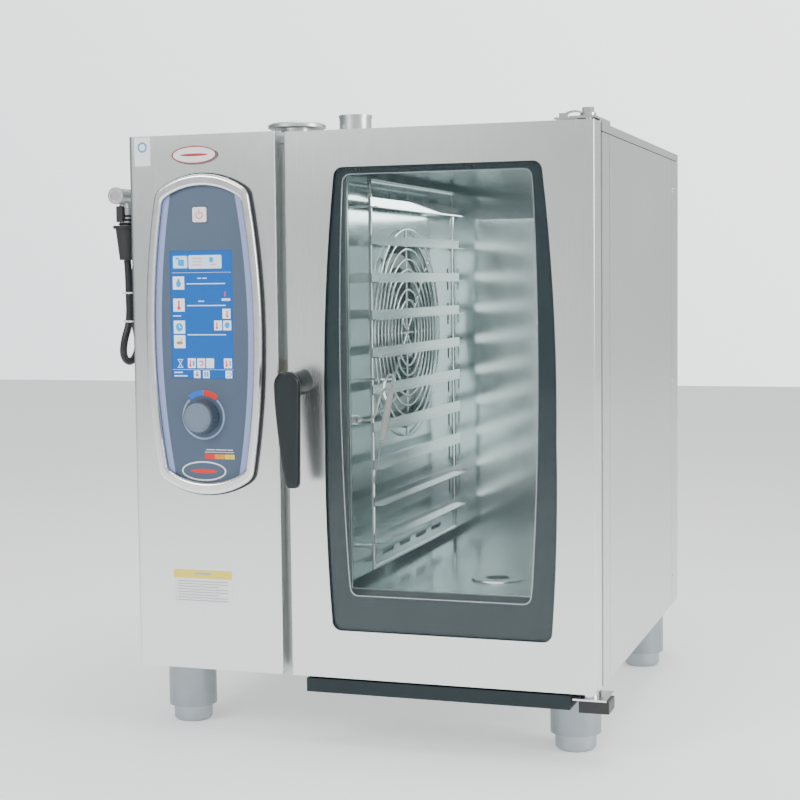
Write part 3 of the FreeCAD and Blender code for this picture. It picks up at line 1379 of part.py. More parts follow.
def build():
    base_chassis()
    foot_sleeves()
    for corner, (across, depth) in foot_places().items():
        foot_insert(corner, across, depth)
    left_side_panel()
    right_side_panel()
    rear_panel()
    top_cover()
    fascia()
    column_partition()
    cavity_liner()
    cavity_front_frame()
    door_gasket()
    insulation_wrap()
    air_baffle()
    fan_guard()
    fan_motor()
    fan_wheel()
    heating_coil()
    rack("left_rack", LEFT_RACK_X, 1)
    rack("right_rack", RIGHT_RACK_X, -1)
    drain_pipe()
    drain_strainer()
    flue_pipe()
    top_vent_cap()
    top_hinge_bracket()
    bottom_hinge_bracket()
    bottom_hinge_cover()
    drip_tray()
    skin = door_skin()
    door_skin_shaft_hole(skin)
    hinge_bushes()
    pane("outer_glass", WALL + 0.1, S.pane_thickness, -12, -12, -12, 20)
    inner_glass()
    door_liner()
    handle_boss()
    handle_lever()
    handle_shaft()
    control_bezel()
    control_face()
    display()
    power_button()
    dial_shaft()
    dial_knob()
    control_board()
    steam_boiler()
    shower_holder()
    shower_body()
    shower_trigger()
    hose_ties()
    hose_fittings()
    shower_hose()
    probe_grommet()
    probe_cable()
    probe_handle()
    probe_needle()
    water_inlet()
    cable_gland()
    casing_screws()


def check_and_export():
    """Stop on any failed object, then write one STEP file for each sub-part."""
    DOC.recompute()
    for thing in DOC.Objects:
        if "Invalid" in thing.State or "Error" in thing.State:
            raise RuntimeError("%s (%s) failed: %s" % (thing.Name, thing.Label, thing.State))
    for piece in NODES:
        if piece.Shape.isNull() or not piece.Shape.isValid() or not piece.Shape.Solids:
            raise RuntimeError(piece.Label + " has no valid solid")
    os.makedirs("parts", exist_ok=True)
    for piece in NODES:
        piece.Shape.exportStep("parts/%s.step" % piece.Label)
    whole = FreeCAD.BoundBox()
    for piece in NODES:
        whole.add(piece.Shape.BoundBox)
    print("%d sub-parts, box %s" % (len(NODES), whole))


build()
check_and_export()
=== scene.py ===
from math import cos, pi, radians, sin, sqrt

import bmesh
import bpy
from mathutils import Matrix, Vector


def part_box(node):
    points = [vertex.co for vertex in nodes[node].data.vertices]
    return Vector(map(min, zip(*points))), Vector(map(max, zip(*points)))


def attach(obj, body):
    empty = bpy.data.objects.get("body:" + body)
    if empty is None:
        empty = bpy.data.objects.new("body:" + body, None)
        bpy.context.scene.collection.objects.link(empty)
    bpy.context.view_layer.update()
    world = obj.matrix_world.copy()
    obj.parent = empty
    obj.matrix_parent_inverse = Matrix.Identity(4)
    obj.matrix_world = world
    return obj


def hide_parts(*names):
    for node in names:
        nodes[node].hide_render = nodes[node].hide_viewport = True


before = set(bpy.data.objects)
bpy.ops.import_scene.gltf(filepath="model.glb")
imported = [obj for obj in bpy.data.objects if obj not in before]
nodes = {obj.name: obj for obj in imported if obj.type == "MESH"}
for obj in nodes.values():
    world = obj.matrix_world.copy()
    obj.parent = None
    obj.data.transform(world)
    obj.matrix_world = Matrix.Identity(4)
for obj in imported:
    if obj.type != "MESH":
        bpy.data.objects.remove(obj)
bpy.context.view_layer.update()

MM = 0.001

# ------------------------------------------------------------------ studio
# A pale seamless floor under soft lamps, and a long lens a little above the oven's middle,
# to the right of its centre line, so that the front and the right side both show.

camera_data = bpy.data.cameras.new("studio_camera")
camera_data.lens = 74.2
camera_data.sensor_width = 36
camera = bpy.data.objects.new("studio_camera", camera_data)
camera.matrix_world = (Matrix.Translation((0.970, -3.002, 0.792))
                       @ Matrix.Rotation(radians(18.39), 4, "Z")
                       @ Matrix.Rotation(radians(90 - 4.17), 4, "X")
                       @ Matrix.Rotation(radians(-0.66), 4, "Z"))
bpy.context.collection.objects.link(camera)
bpy.context.scene.camera = camera


def softbox(name, place, target, width, height, power, colour=(1, 1, 1)):
    """A square lamp that faces its target and that the camera doesn't see."""
    lamp = bpy.data.lights.new(name, "AREA")
    lamp.shape = "RECTANGLE"
    lamp.size = width
    lamp.size_y = height
    lamp.energy = power
    lamp.color = colour
    holder = bpy.data.objects.new(name, lamp)
    aim = (Vector(target) - Vector(place)).to_track_quat("-Z", "Y")
    holder.matrix_world = Matrix.Translation(place) @ aim.to_matrix().to_4x4()
    holder.visible_camera = False
    bpy.context.collection.objects.link(holder)


softbox("key_lamp", (-1.6, -3.2, 2.6), (0, 0, 0.6), 1.6, 1.6, 75)
softbox("side_lamp", (3.2, -0.6, 1.7), (0.3, 0, 0.6), 1.4, 1.8, 60)
softbox("top_lamp", (0.2, 0.2, 3.0), (0, 0, 1.0), 1.8, 1.8, 55)


class Signal:
    """One output of a node. Arithmetic on it adds the Math nodes that work it out."""

    def __init__(self, finish, socket):
        self.finish = finish
        self.socket = socket

    def operator(kind):
        """The plain and the reflected form of one Math operation."""
        def forward(self, other):
            return self.finish.node("ShaderNodeMath", {"operation": kind}, {0: self, 1: other})

        def reflected(self, other):
            return self.finish.node("ShaderNodeMath", {"operation": kind}, {0: other, 1: self})
        return forward, reflected

    __add__, __radd__ = operator("ADD")
    __sub__, __rsub__ = operator("SUBTRACT")
    __mul__, __rmul__ = operator("MULTIPLY")
    __truediv__, __rtruediv__ = operator("DIVIDE")
    __pow__, __rpow__ = operator("POWER")
    __lt__, __gt__ = operator("LESS_THAN")[0], operator("GREATER_THAN")[0]

    def __abs__(self):
        return self.finish.node("ShaderNodeMath", {"operation": "ABSOLUTE"}, {0: self})


class Graph:
    """A tree of shader nodes, of a material or of the world."""

    def __init__(self, tree):
        self.tree = tree

    def give(self, socket, value):
        """Sets a socket's value, or links a signal to it."""
        if isinstance(value, Signal):
            self.tree.links.new(value.socket, socket)
        elif socket.type == "RGBA":
            socket.default_value = (*value[:3], 1)
        else:
            socket.default_value = value

    def node(self, kind, settings=(), values=(), output=0):
        """Adds a node: its settings first, then the values or links of its sockets."""
        made = self.tree.nodes.new(kind)
        for name, value in dict(settings).items():
            setattr(made, name, value)
        for key, value in dict(values).items():
            self.give(self.find(made.inputs, key), value)
        return Signal(self, self.find(made.outputs, output))

    def find(self, sockets, key):
        """A socket by its number, its name or, where names repeat, its identifier."""
        if isinstance(key, int):
            return sockets[key]
        return [one for one in sockets if key in (one.identifier, one.name)][0]

    def mix(self, factor, first, second):
        """A colour between two, by a factor from 0 to 1."""
        values = {"Factor_Float": factor, "A_Color": first, "B_Color": second}
        return self.node("ShaderNodeMix", {"data_type": "RGBA"}, values, output="Result_Color")


class Finish(Graph):
    """A material: values that are the same all over go on its shader, and signals are linked to it."""

    def __init__(self, name, **values):
        self.material = bpy.data.materials.new(name)
        self.material.use_nodes = True
        super().__init__(self.material.node_tree)
        self.shader = self.tree.nodes["Principled BSDF"]
        self.shade(**values)

    def shade(self, **values):
        """Gives the shader its values: base_color=..., roughness=... and so on."""
        for name, value in values.items():
            self.give(self.shader.inputs[name.replace("_", " ").title().replace("Ior", "IOR")], value)
        return self

    def place(self, shift=(0, 0, 0), scale=(1, 1, 1)):
        """Object coordinates, moved and stretched."""
        at = self.node("ShaderNodeTexCoord", output="Object")
        return self.node("ShaderNodeMapping", {}, {"Vector": at, "Location": shift, "Scale": scale})

    def axes(self, centre=(0, 0, 0)):
        """X, Y and Z of the surface from a centre, in metres."""
        at = self.place([-value for value in centre])
        split = self.node("ShaderNodeSeparateXYZ", {}, {0: at})
        return [Signal(self, socket) for socket in split.socket.node.outputs]

    def noise(self, size, detail=2, stretch=(1, 1, 1)):
        """Cloudy noise whose lumps are about that size, in metres."""
        at = self.place(scale=stretch)
        return self.node("ShaderNodeTexNoise", {}, {"Vector": at, "Scale": 1 / size, "Detail": detail})

    def mottle(self, low, high, size, detail=2):
        """Lets the base colour drift between two tones, in clouds of about that size."""
        return self.shade(base_color=self.mix(self.noise(size, detail), low, high))

    def bump(self, height, depth, strength=1.0):
        """Raises the surface by a signal times a depth, in metres."""
        values = {"Height": height, "Distance": depth, "Strength": strength}
        return self.shade(normal=self.node("ShaderNodeBump", {}, values))


def wear(finish, names):
    """Puts a finish on the frame's nodes."""
    for name in names:
        mesh = nodes[name].data
        mesh.materials.clear()
        mesh.materials.append(finish.material)


world = bpy.data.worlds.new("studio_air")
world.use_nodes = True
bpy.context.scene.world = world
air = Graph(world.node_tree)
toward = air.node("ShaderNodeSeparateXYZ", {}, {0: air.node("ShaderNodeTexCoord", output="Generated")})
air_x, air_y, air_z = [Signal(air, socket) for socket in toward.socket.node.outputs]
lightness = air_x * 0.35 + abs(air_y) * 0.35 + air_z * 0.35 + 0.40
background = world.node_tree.nodes["Background"]
air.give(background.inputs["Color"], air.mix(lightness, (0.12, 0.17, 0.19), (1.0, 1.0, 1.0)))
seen = air.node("ShaderNodeLightPath", output="Is Camera Ray")
air.give(background.inputs["Strength"], seen * 2.4 + 0.95)

floor_finish = Finish("floor_paper", roughness=0.7, emission_color=(1, 1, 1), emission_strength=0.4)
floor_finish.mottle((0.86, 0.87, 0.88), (0.90, 0.91, 0.92), 0.9)
floor_mesh = bpy.data.meshes.new("floor")
sheet = bmesh.new()
bmesh.ops.create_grid(sheet, x_segments=1, y_segments=1, size=9)
sheet.to_mesh(floor_mesh)
sheet.free()
floor_mesh.materials.append(floor_finish.material)
floor = bpy.data.objects.new("floor", floor_mesh)
bpy.context.collection.objects.link(floor)

# ------------------------------------------------------------------ shower hose and its ties
# Black reinforced rubber hose for the hand shower. It leaves the holder's foot, hangs in a loop that
# two plastic ties keep narrow, goes over a saddle hook and ends in a wall elbow low on the left side.

left, front, bottom = -0.383, -0.412, 0.117
hose_diameter = 13 * MM
HOSE_ROUTE = [(46, 76, 716), (45, 77, 694), (44, 76, 657), (44, 77, 606), (50, 64, 572), (55, 68, 543),
              (54, 92, 529), (50, 115, 546), (46, 110, 576), (44, 92, 606), (44, 92.5, 657), (42, 98, 703),
              (38, 113, 748), (35, 134, 790), (34, 160, 828), (34, 200, 852), (34, 247, 855),
              (33, 290, 832), (32, 318, 794), (31, 331, 748), (30, 336, 690), (29, 333, 600),
              (27, 337, 505), (28, 333, 415), (26, 336, 330), (26, 331, 275), (26, 331.1, 235)]


def cord_curve(name, points, diameter, finish, body, cad_node):
    """One round smooth curve through its control points, in place of the frame's plain tube."""
    curve = bpy.data.curves.new(name, "CURVE")
    curve.dimensions = "3D"
    curve.resolution_u = 10
    curve.bevel_depth = diameter / 2
    curve.bevel_resolution = 5
    curve.use_fill_caps = True
    line = curve.splines.new("NURBS")
    line.points.add(len(points) - 1)
    for spot, point in zip(line.points, points):
        spot.co = (*point, 1)
    line.order_u = 3
    line.use_endpoint_u = True
    curve.materials.append(finish.material)
    piece = bpy.data.objects.new(name, curve)
    bpy.context.collection.objects.link(piece)
    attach(piece, body)
    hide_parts(cad_node)
    return piece


rubber = Finish("hose_rubber", roughness=0.42, specular_ior_level=0.45)
rubber.mottle((0.012, 0.013, 0.014), (0.022, 0.024, 0.026), 0.03, 4)
rubber.bump(rubber.noise(0.0015, 3), 0.0002, 0.5)
hose_points = [(left - out * MM, front + depth * MM, bottom + up * MM) for out, depth, up in HOSE_ROUTE]
hose = cord_curve("shower_hose_line", hose_points, hose_diameter, rubber,
                  "cabinet", "shower_hose")

tie_finish = Finish("tie_plastic", roughness=0.5, subsurface_weight=0.1)
tie_finish.mottle((0.74, 0.75, 0.73), (0.82, 0.82, 0.80), 0.004)
wear(tie_finish, ["hose_ties"])

# ------------------------------------------------------------------ core probe
# A needle thermometer for roasts: pale silicone lead from a gland in the baffle, over a bent wire that
# parks it, down to a moulded grip and a thin steel needle.

PROBE_ROUTE = [(390.1, 96, 433), (402, 95, 432), (414, 94, 439), (419, 93, 456), (424, 92, 476),
               (436, 90, 490), (450, 89, 488), (457, 89.5, 475), (447, 90, 465), (434, 95, 470),
               (430, 97, 486), (434, 94, 503), (445, 87, 515), (455, 81, 509), (453, 78, 496),
               (449.5, 78, 484)]
silicone = Finish("probe_silicone", roughness=0.45)
silicone.mottle((0.78, 0.77, 0.72), (0.86, 0.85, 0.80), 0.01, 3)
probe_points = [(left + across * MM, front + depth * MM, bottom + up * MM)
                for across, depth, up in PROBE_ROUTE]
lead = cord_curve("probe_lead", probe_points, 4 * MM, silicone, "cabinet", "probe_cable")
grip_finish = Finish("probe_grip", roughness=0.4)
grip_finish.mottle((0.80, 0.79, 0.74), (0.88, 0.87, 0.83), 0.01, 3)
grip_lines = grip_finish.axes()[2] * 900
grip_finish.bump(grip_finish.node("ShaderNodeMath", {"operation": "SINE"}, {0: grip_lines}), 0.0003, 0.6)
wear(grip_finish, ["probe_handle"])

# ------------------------------------------------------------------ stainless sheet
# Folded AISI 304 sheet with a fine ground grain: the column front, the door skin, the sides, the back,
# the cover and the chassis. The grain runs upwards on the upright sheets, as it is cut from the coil.


def ground_steel(name, low, high, shine, grain=(1, 1, 0.02), depth=0.00002, lines=0.0006):
    """Metal with long fine grinding lines and faint clouds in its gloss."""
    steel = Finish(name, metallic=1.0, specular_ior_level=0.5)
    cloud = steel.noise(0.35, 3)
    scratch = steel.noise(lines, 2, grain)
    steel.shade(base_color=steel.mix(cloud * 0.6 + scratch * 0.4, low, high))
    steel.shade(roughness=shine + (cloud - 0.5) * 0.10 + (scratch - 0.5) * 0.12)
    return steel.bump(scratch, depth, 0.35)


def even_metal(name, low, high, shine, lines):
    """Metal whose fine marks run in no direction, as on cast, drawn or polished pieces."""
    return ground_steel(name, low, high, shine, grain=(1, 1, 1), lines=lines)


front_steel = ground_steel("front_stainless", (0.76, 0.79, 0.78), (0.86, 0.89, 0.88), 0.24)
wear(front_steel, ["fascia", "door_skin"])
casing_steel = ground_steel("casing_stainless", (0.66, 0.69, 0.68), (0.75, 0.78, 0.77), 0.34)
wear(casing_steel, ["left_side_panel", "right_side_panel", "rear_panel", "cavity_front_frame",
                    "column_partition", "door_liner", "base_chassis"])
cover_steel = ground_steel("cover_stainless", (0.62, 0.65, 0.65), (0.72, 0.75, 0.74), 0.34,
                           grain=(1, 0.02, 1))
wear(cover_steel, ["top_cover", "top_vent_cap", "flue_pipe"])
bright_steel = even_metal("bright_steel", (0.72, 0.73, 0.72), (0.84, 0.85, 0.84), 0.13, 0.004)
wear(bright_steel, ["top_hinge_bracket", "bottom_hinge_bracket", "hinge_bushes", "casing_screws",
                    "handle_shaft", "probe_needle", "probe_grommet", "dial_shaft", "left_rack", "right_rack"])
wire_steel = even_metal("wire_steel", (0.62, 0.64, 0.63), (0.74, 0.75, 0.74), 0.24, 0.004)
wear(wire_steel, ["fan_guard", "drain_strainer"])

# ------------------------------------------------------------------ feet
# Turned aluminium legs: a wide sleeve bolted to the chassis, and a narrower insert that screws in and
# out to level the oven. The tool leaves fine rings round both.


def turned_metal(name, low, high, shine, pitch):
    """Metal with the fine level rings that a lathe leaves."""
    metal = Finish(name, metallic=1.0)
    cloud = metal.noise(0.04, 4)
    metal.shade(base_color=metal.mix(cloud, low, high), roughness=shine + (cloud - 0.5) * 0.15)
    rings = metal.node("ShaderNodeMath", {"operation": "SINE"}, {0: metal.axes()[2] * (2 * pi / pitch)})
    return metal.bump(rings, 0.00003, 0.3)


wear(turned_metal("foot_sleeve", (0.26, 0.30, 0.32), (0.38, 0.42, 0.44), 0.34, 0.0008), ["foot_sleeves"])
wear(turned_metal("foot_insert", (0.34, 0.38, 0.40), (0.46, 0.50, 0.52), 0.30, 0.0006),
     ["foot_front_left", "foot_front_right", "foot_rear_left", "foot_rear_right"])

# ------------------------------------------------------------------ cooking cavity
# The welded liner and the baffle are bright-annealed stainless, a little tarnished by heat. The racks
# that hold the trays are polished, and a lamp in the ceiling lights it all through the door.

cavity_steel = ground_steel("cavity_stainless", (0.50, 0.56, 0.56), (0.66, 0.71, 0.71), 0.15,
                            grain=(1, 1, 0.05))
wear(cavity_steel, ["cavity_liner", "air_baffle"])
softbox("cavity_lamp", (0.19, 0.05, 0.93), (0.19, 0.0, 0.2), 0.30, 0.45, 4, (0.86, 1.0, 0.98))
softbox("cavity_fill", (0.19, -0.32, 0.62), (0.19, 0.3, 0.6), 0.30, 0.55, 1.5, (0.86, 1.0, 0.98))

fan_metal = even_metal("fan_steel", (0.42, 0.44, 0.44), (0.56, 0.58, 0.58), 0.38, 0.003)
wear(fan_metal, ["fan_wheel"])
heater = Finish("heater_sheath", metallic=1.0, roughness=0.48)
heat = heater.noise(0.03, 3)
heater.shade(base_color=heater.mix(heat, (0.10, 0.09, 0.085), (0.28, 0.24, 0.20)))
heater.bump(heater.noise(0.002, 2), 0.0001, 0.4)
wear(heater, ["heating_coil"])
casting = Finish("motor_casting", metallic=0.3, roughness=0.55)
casting.mottle((0.20, 0.22, 0.23), (0.30, 0.32, 0.33), 0.02, 4)
casting.bump(casting.noise(0.0015, 3), 0.0003, 0.6)
wear(casting, ["fan_motor"])
wool = Finish("mineral_wool", roughness=0.95)
wool.mottle((0.44, 0.38, 0.22), (0.66, 0.60, 0.42), 0.006, 5)
wool.bump(wool.noise(0.003, 6), 0.003, 0.8)
wear(wool, ["insulation_wrap"])
gasket = Finish("gasket_rubber", roughness=0.6)
gasket.mottle((0.02, 0.022, 0.024), (0.045, 0.048, 0.05), 0.02, 3)
gasket.bump(gasket.noise(0.0012, 2), 0.0002, 0.5)
wear(gasket, ["door_gasket"])

# ------------------------------------------------------------------ door glass
# Two toughened panes with a faint green tint. The outer pane carries a dark enamel border, fired on
# its back, which hides the door's frame. The inner pane sits in a dark silicone edge.

outer_pane = Finish("outer_pane", roughness=0.03, specular_ior_level=0.6)
outer_pane.shade(base_color=(0.03, 0.06, 0.065), alpha=0.155)
inner_pane = Finish("inner_pane", roughness=0.03, specular_ior_level=0.6)
inner_pane.shade(base_color=(0.10, 0.15, 0.155), alpha=0.085)
wear(outer_pane, ["outer_glass"])
wear(inner_pane, ["inner_glass"])

glass_low, glass_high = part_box("outer_glass")
WINDOW_X = (glass_low.x + glass_high.x) / 2
PANE_BACK = glass_high.y


def side_line(heights, halves, steps):
    """Points up one side of the window: half widths at three heights, joined by one smooth bow."""
    low, middle, high = heights
    points = []
    for step in range(steps + 1):
        z = low + (high - low) * step / steps
        bow_low = (z - middle) * (z - high) / ((low - middle) * (low - high))
        bow_middle = (z - low) * (z - high) / ((middle - low) * (middle - high))
        bow_high = (z - low) * (z - middle) / ((high - low) * (high - middle))
        points.append((halves[0] * bow_low + halves[1] * bow_middle + halves[2] * bow_high, z))
    return points


def window_loop(mesh, centre, y, heights, halves, corner):
    """A closed loop of edges round the window, with rounded corners."""
    side = side_line(heights, halves, 24)
    inner = [point for point in side if heights[0] + corner <= point[1] <= heights[2] - corner]
    low_half, high_half = halves[0], halves[2]
    turns = [step * pi / 12 for step in range(7)]
    top = [(high_half - corner + corner * cos(a), heights[2] - corner + corner * sin(a)) for a in turns]
    foot = [(low_half - corner + corner * sin(a), heights[0] + corner - corner * cos(a)) for a in turns]
    right = foot + inner + top
    outline = right + [(-x, z) for x, z in reversed(right)]
    points = [mesh.verts.new((centre + x, y, z)) for x, z in outline]
    return [mesh.edges.new((a, b)) for a, b in zip(points, points[1:] + points[:1])]


def make_piece(name, mesh, finishes, body, smooth=True, stands_for=()):
    """Turns a bmesh into a piece that rides on a body, with its finishes in order."""
    bmesh.ops.recalc_face_normals(mesh, faces=mesh.faces)
    data = bpy.data.meshes.new(name)
    mesh.to_mesh(data)
    mesh.free()
    for finish in finishes:
        data.materials.append(finish.material)
    data.polygons.foreach_set("use_smooth", [smooth] * len(data.polygons))
    if smooth:
        data.set_sharp_from_angle(angle=radians(35))
    piece = bpy.data.objects.new(name, data)
    bpy.context.collection.objects.link(piece)
    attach(piece, body)
    if stands_for:
        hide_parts(*stands_for)
    return piece


def raise_plate(mesh, faces, depth):
    """Gives flat faces a thickness towards the front."""
    made = bmesh.ops.extrude_face_region(mesh, geom=faces)
    moved = [part for part in made["geom"] if isinstance(part, bmesh.types.BMVert)]
    bmesh.ops.translate(mesh, verts=moved, vec=(0, -depth, 0))


def framed_ring(outer, inner, y, depth, name, finish):
    """A flat ring between two window-shaped loops, each given by its centre, heights, halves and corner."""
    mesh = bmesh.new()
    edges = []
    for centre, heights, halves, corner in (outer, inner):
        edges += window_loop(mesh, centre, y, heights, halves, corner)
    ring = bmesh.ops.bridge_loops(mesh, edges=edges)
    raise_plate(mesh, ring["faces"], depth)
    return make_piece(name, mesh, [finish], "door")


enamel = Finish("glass_enamel", roughness=0.12, coat_weight=0.6)
# The border is painted lighter towards the bottom, by its height: a painted reflection, with random clouds of
# tone mixed in.
painted_reflection_height = enamel.axes((0, 0, glass_low.z))[2] / (glass_high.z - glass_low.z)
enamel.shade(base_color=enamel.mix(painted_reflection_height * 0.6 + enamel.noise(0.25) * 0.4,
                                   (0.034, 0.056, 0.062), (0.008, 0.014, 0.019)))
BORDER_HEIGHTS = (glass_low.z + 0.002, bottom + 0.410, glass_high.z - 0.002)
CLEAR_X = WINDOW_X - 0.003
CLEAR_HEIGHTS = (bottom + 0.141, bottom + 0.470, bottom + 0.852)
CLEAR_HALVES = (0.158, 0.171, 0.163)
CLEAR_CORNER = 0.014
framed_ring((WINDOW_X, BORDER_HEIGHTS, (0.199, 0.209, 0.186), 0.019),
            (CLEAR_X, CLEAR_HEIGHTS, CLEAR_HALVES, CLEAR_CORNER),
            PANE_BACK + 0.0011, 0.0009, "window_enamel", enamel)
LINE_WIDTH = 0.0016
line_heights = (CLEAR_HEIGHTS[0] + LINE_WIDTH, CLEAR_HEIGHTS[1], CLEAR_HEIGHTS[2] - LINE_WIDTH)
silver_line = even_metal("silver_line", (0.66, 0.72, 0.72), (0.80, 0.86, 0.86), 0.25, 0.004)
framed_ring((CLEAR_X, CLEAR_HEIGHTS, CLEAR_HALVES, CLEAR_CORNER),
            (CLEAR_X, line_heights, [half - LINE_WIDTH for half in CLEAR_HALVES], 0.013),
            PANE_BACK + 0.0011, 0.0008, "window_line", silver_line)

inner_low, inner_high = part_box("inner_glass")
edge_seal = Finish("silicone_edge", roughness=0.5)
edge_seal.mottle((0.16, 0.19, 0.19), (0.22, 0.25, 0.25), 0.01)
pane_heights = (inner_low.z - 0.003, (inner_low.z + inner_high.z) / 2, inner_high.z + 0.003)
inner_half = (inner_high.x - inner_low.x) / 2
inner_x = (inner_low.x + inner_high.x) / 2
EDGE_WIDTH = 0.012
edge_heights = (pane_heights[0] + EDGE_WIDTH, pane_heights[1], pane_heights[2] - EDGE_WIDTH)
framed_ring((inner_x, pane_heights, (inner_half + 0.003,) * 3, 0.006),
            (inner_x, edge_heights, (inner_half - 0.009,) * 3, 0.006),
            inner_low.y - 0.0003, 0.004, "inner_pane_edge", edge_seal)

# ------------------------------------------------------------------ handle
# A glass-filled nylon lever, moulded in one piece: a wide round head over the boss, a straight right
# edge and a bowed left one that narrow to a blunt tip. The faint arc moulded in its head is not built.

nylon = Finish("handle_nylon", roughness=0.38, specular_ior_level=0.45)
nylon.mottle((0.005, 0.009, 0.011), (0.009, 0.015, 0.018), 0.05, 4)
nylon.bump(nylon.noise(0.0007, 2), 0.00012, 0.5)
wear(nylon, ["handle_boss"])

lever_low, lever_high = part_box("handle_lever")
head_radius = (lever_high.x - lever_low.x) / 2
head_z = lever_high.z - head_radius
head_x = (lever_low.x + lever_high.x) / 2
lever_front, lever_back = lever_low.y + 0.0004, lever_high.y
lever_y = (lever_front + lever_back) / 2
lever = bmesh.new()
LEVER_STEPS, ROUND_STEPS = 30, 28
SQUARENESS = 0.55
loops = []
for step in range(LEVER_STEPS + 1):
    share = step / LEVER_STEPS
    z = lever_high.z - 0.0008 - (lever_high.z - lever_low.z - 0.0016) * (1 - cos(pi * share)) / 2
    fall = max(0.0, (head_z - z) / (head_z - lever_low.z))
    right_edge = lever_high.x - 0.0005 - 0.004 * fall
    left_edge = lever_low.x + 0.0005 + (head_radius * 2 - 0.028) * fall ** 1.55
    if z > head_z:
        half = sqrt(max(0.0, head_radius ** 2 - (z - head_z) ** 2)) - 0.0005
        left_edge, right_edge = head_x - half, head_x + half
    tip = max(0.0, (lever_low.z + 0.009 - z) / 0.009)
    ease = sqrt(max(0.0, 1 - tip ** 2)) * 0.55 + 0.45
    half = max(0.0015, (right_edge - left_edge) / 2 * ease)
    middle = (right_edge + left_edge) / 2
    thick = (lever_back - lever_front) / 2 * (0.72 + 0.28 * min(1.0, half / 0.012)) * (0.9 + 0.1 * ease)
    ring = []
    for turn in range(ROUND_STEPS):
        angle = 2 * pi * turn / ROUND_STEPS
        x = abs(cos(angle)) ** SQUARENESS * (1 if cos(angle) > 0 else -1)
        y = abs(sin(angle)) ** SQUARENESS * (1 if sin(angle) > 0 else -1)
        crown = 1 - 0.25 * x * x if y < 0 else 1
        ring.append(lever.verts.new((middle + half * x, lever_y + thick * y * crown, z)))
    loops.append([lever.edges.new((a, b)) for a, b in zip(ring, ring[1:] + ring[:1])])
bmesh.ops.bridge_loops(lever, edges=[edge for loop in loops for edge in loop])
for loop in (loops[0], loops[-1]):
    bmesh.ops.contextual_create(lever, geom=loop)
handle = make_piece("handle_moulding", lever, [nylon], "handle",
                    stands_for=["handle_lever"])
handle_round = handle.modifiers.new("round", "SUBSURF")
handle_round.levels = 1
handle_round.render_levels = 1

# ------------------------------------------------------------------ control panel shell
# A chromed zinc ring, rounded over at its front, holds a moulded slate-blue face with two lavender
# stripes printed beside the ring. A thin rubber lip seals the ring to the fascia.

bezel_low, bezel_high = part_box("control_bezel")
chrome = Finish("bezel_chrome", metallic=1.0)
bezel_depth = chrome.axes((0, bezel_low.y, 0))[1]
# The front 4.5 mm of the ring is painted near white and the part behind it grey: a painted reflection of the
# chrome's bevels, with random clouds of tone.
painted_reflection_band = bezel_depth > 0.0045
ring_cloud = chrome.noise(0.02, 3)
chrome.shade(base_color=chrome.mix(painted_reflection_band, chrome.mix(ring_cloud, (0.88, 0.88, 0.87), (0.95, 0.95, 0.94)),
                                   chrome.mix(ring_cloud, (0.42, 0.45, 0.46), (0.52, 0.55, 0.56))),
             roughness=painted_reflection_band * 0.10 + ring_cloud * 0.08 + 0.16)
wear(chrome, ["control_bezel"])

face_low, face_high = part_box("control_face")
face_middle = (face_low + face_high) / 2
FACE_SIDE_RADIUS = 1.397
slate = Finish("panel_plastic", roughness=0.42)
across, _, up = slate.axes(face_middle)
side_edge = (FACE_SIDE_RADIUS ** 2 - up * up) ** 0.5 + ((face_high.x - face_low.x) / 2 - FACE_SIDE_RADIUS)
stripe = abs(across) > side_edge - 0.0115
slate_tone = slate.mix(slate.noise(0.12, 3), (0.062, 0.096, 0.150), (0.076, 0.116, 0.176))
slate.shade(base_color=slate.mix(stripe, slate_tone, (0.28, 0.35, 0.60)))
slate.bump(slate.noise(0.0006, 2), 0.00006, 0.4)
wear(slate, ["control_face"])

BARREL_CORNER = Vector((86.5, 245.0))
BARREL_HALF = Vector((107.9, 274.7))
SIDE_RADIUS, END_RADIUS, CORNER_CUT = 1410.0, 141.0, 10.0


def barrel_quarter():
    """The upper right quarter of the ring's outline, in millimetres: side arc, rounded corner, end arc."""
    steps = [step / 16 for step in range(17)]
    side = [share * (BARREL_CORNER.y - CORNER_CUT) for share in steps]
    side = [Vector((sqrt(SIDE_RADIUS ** 2 - z * z) + BARREL_HALF.x - SIDE_RADIUS, z)) for z in side]
    end = [(1 - share) * (BARREL_CORNER.x - CORNER_CUT) for share in steps]
    end = [Vector((x, sqrt(END_RADIUS ** 2 - x * x) + BARREL_HALF.y - END_RADIUS)) for x in end]
    turn = [(1 - t) ** 2 * side[-1] + 2 * t * (1 - t) * BARREL_CORNER + t * t * end[0]
            for t in (0.125, 0.25, 0.375, 0.5, 0.625, 0.75, 0.875)]
    return side + turn + end


def barrel_loop(mesh, centre, grow):
    """A closed loop of edges round the ring's outline, grown by so many millimetres."""
    quarter = barrel_quarter()
    half = quarter + [Vector((-spot.x, spot.y)) for spot in reversed(quarter[:-1])]
    whole = half + [Vector((spot.x, -spot.y)) for spot in reversed(half[1:-1])]
    spots = []
    for spot in whole:
        wide = spot.x * (1 + grow / BARREL_HALF.x) * MM
        tall = spot.y * (1 + grow / BARREL_HALF.y) * MM
        spots.append(mesh.verts.new(centre + Vector((wide, 0, tall))))
    return [mesh.edges.new(pair) for pair in zip(spots, spots[1:] + spots[:1])]


seal = bmesh.new()
bezel_centre = (bezel_low + bezel_high) / 2
seal_centre = Vector((bezel_centre.x, bezel_high.y - 0.0002, bezel_centre.z))
seal_edges = barrel_loop(seal, seal_centre, 0.2) + barrel_loop(seal, seal_centre, 2.6)
raise_plate(seal, bmesh.ops.bridge_loops(seal, edges=seal_edges)["faces"], 0.0035)
make_piece("panel_seal", seal, [gasket], "cabinet")

# ------------------------------------------------------------------ touch screen
# A colour display behind glass. The tiles, sliders and signs are lit shapes that it draws, each a
# plain picture: a cooking tile, steam, drop, thermometer, clock, dish and a return arrow.

PRINT_DEPTH = 0.00015


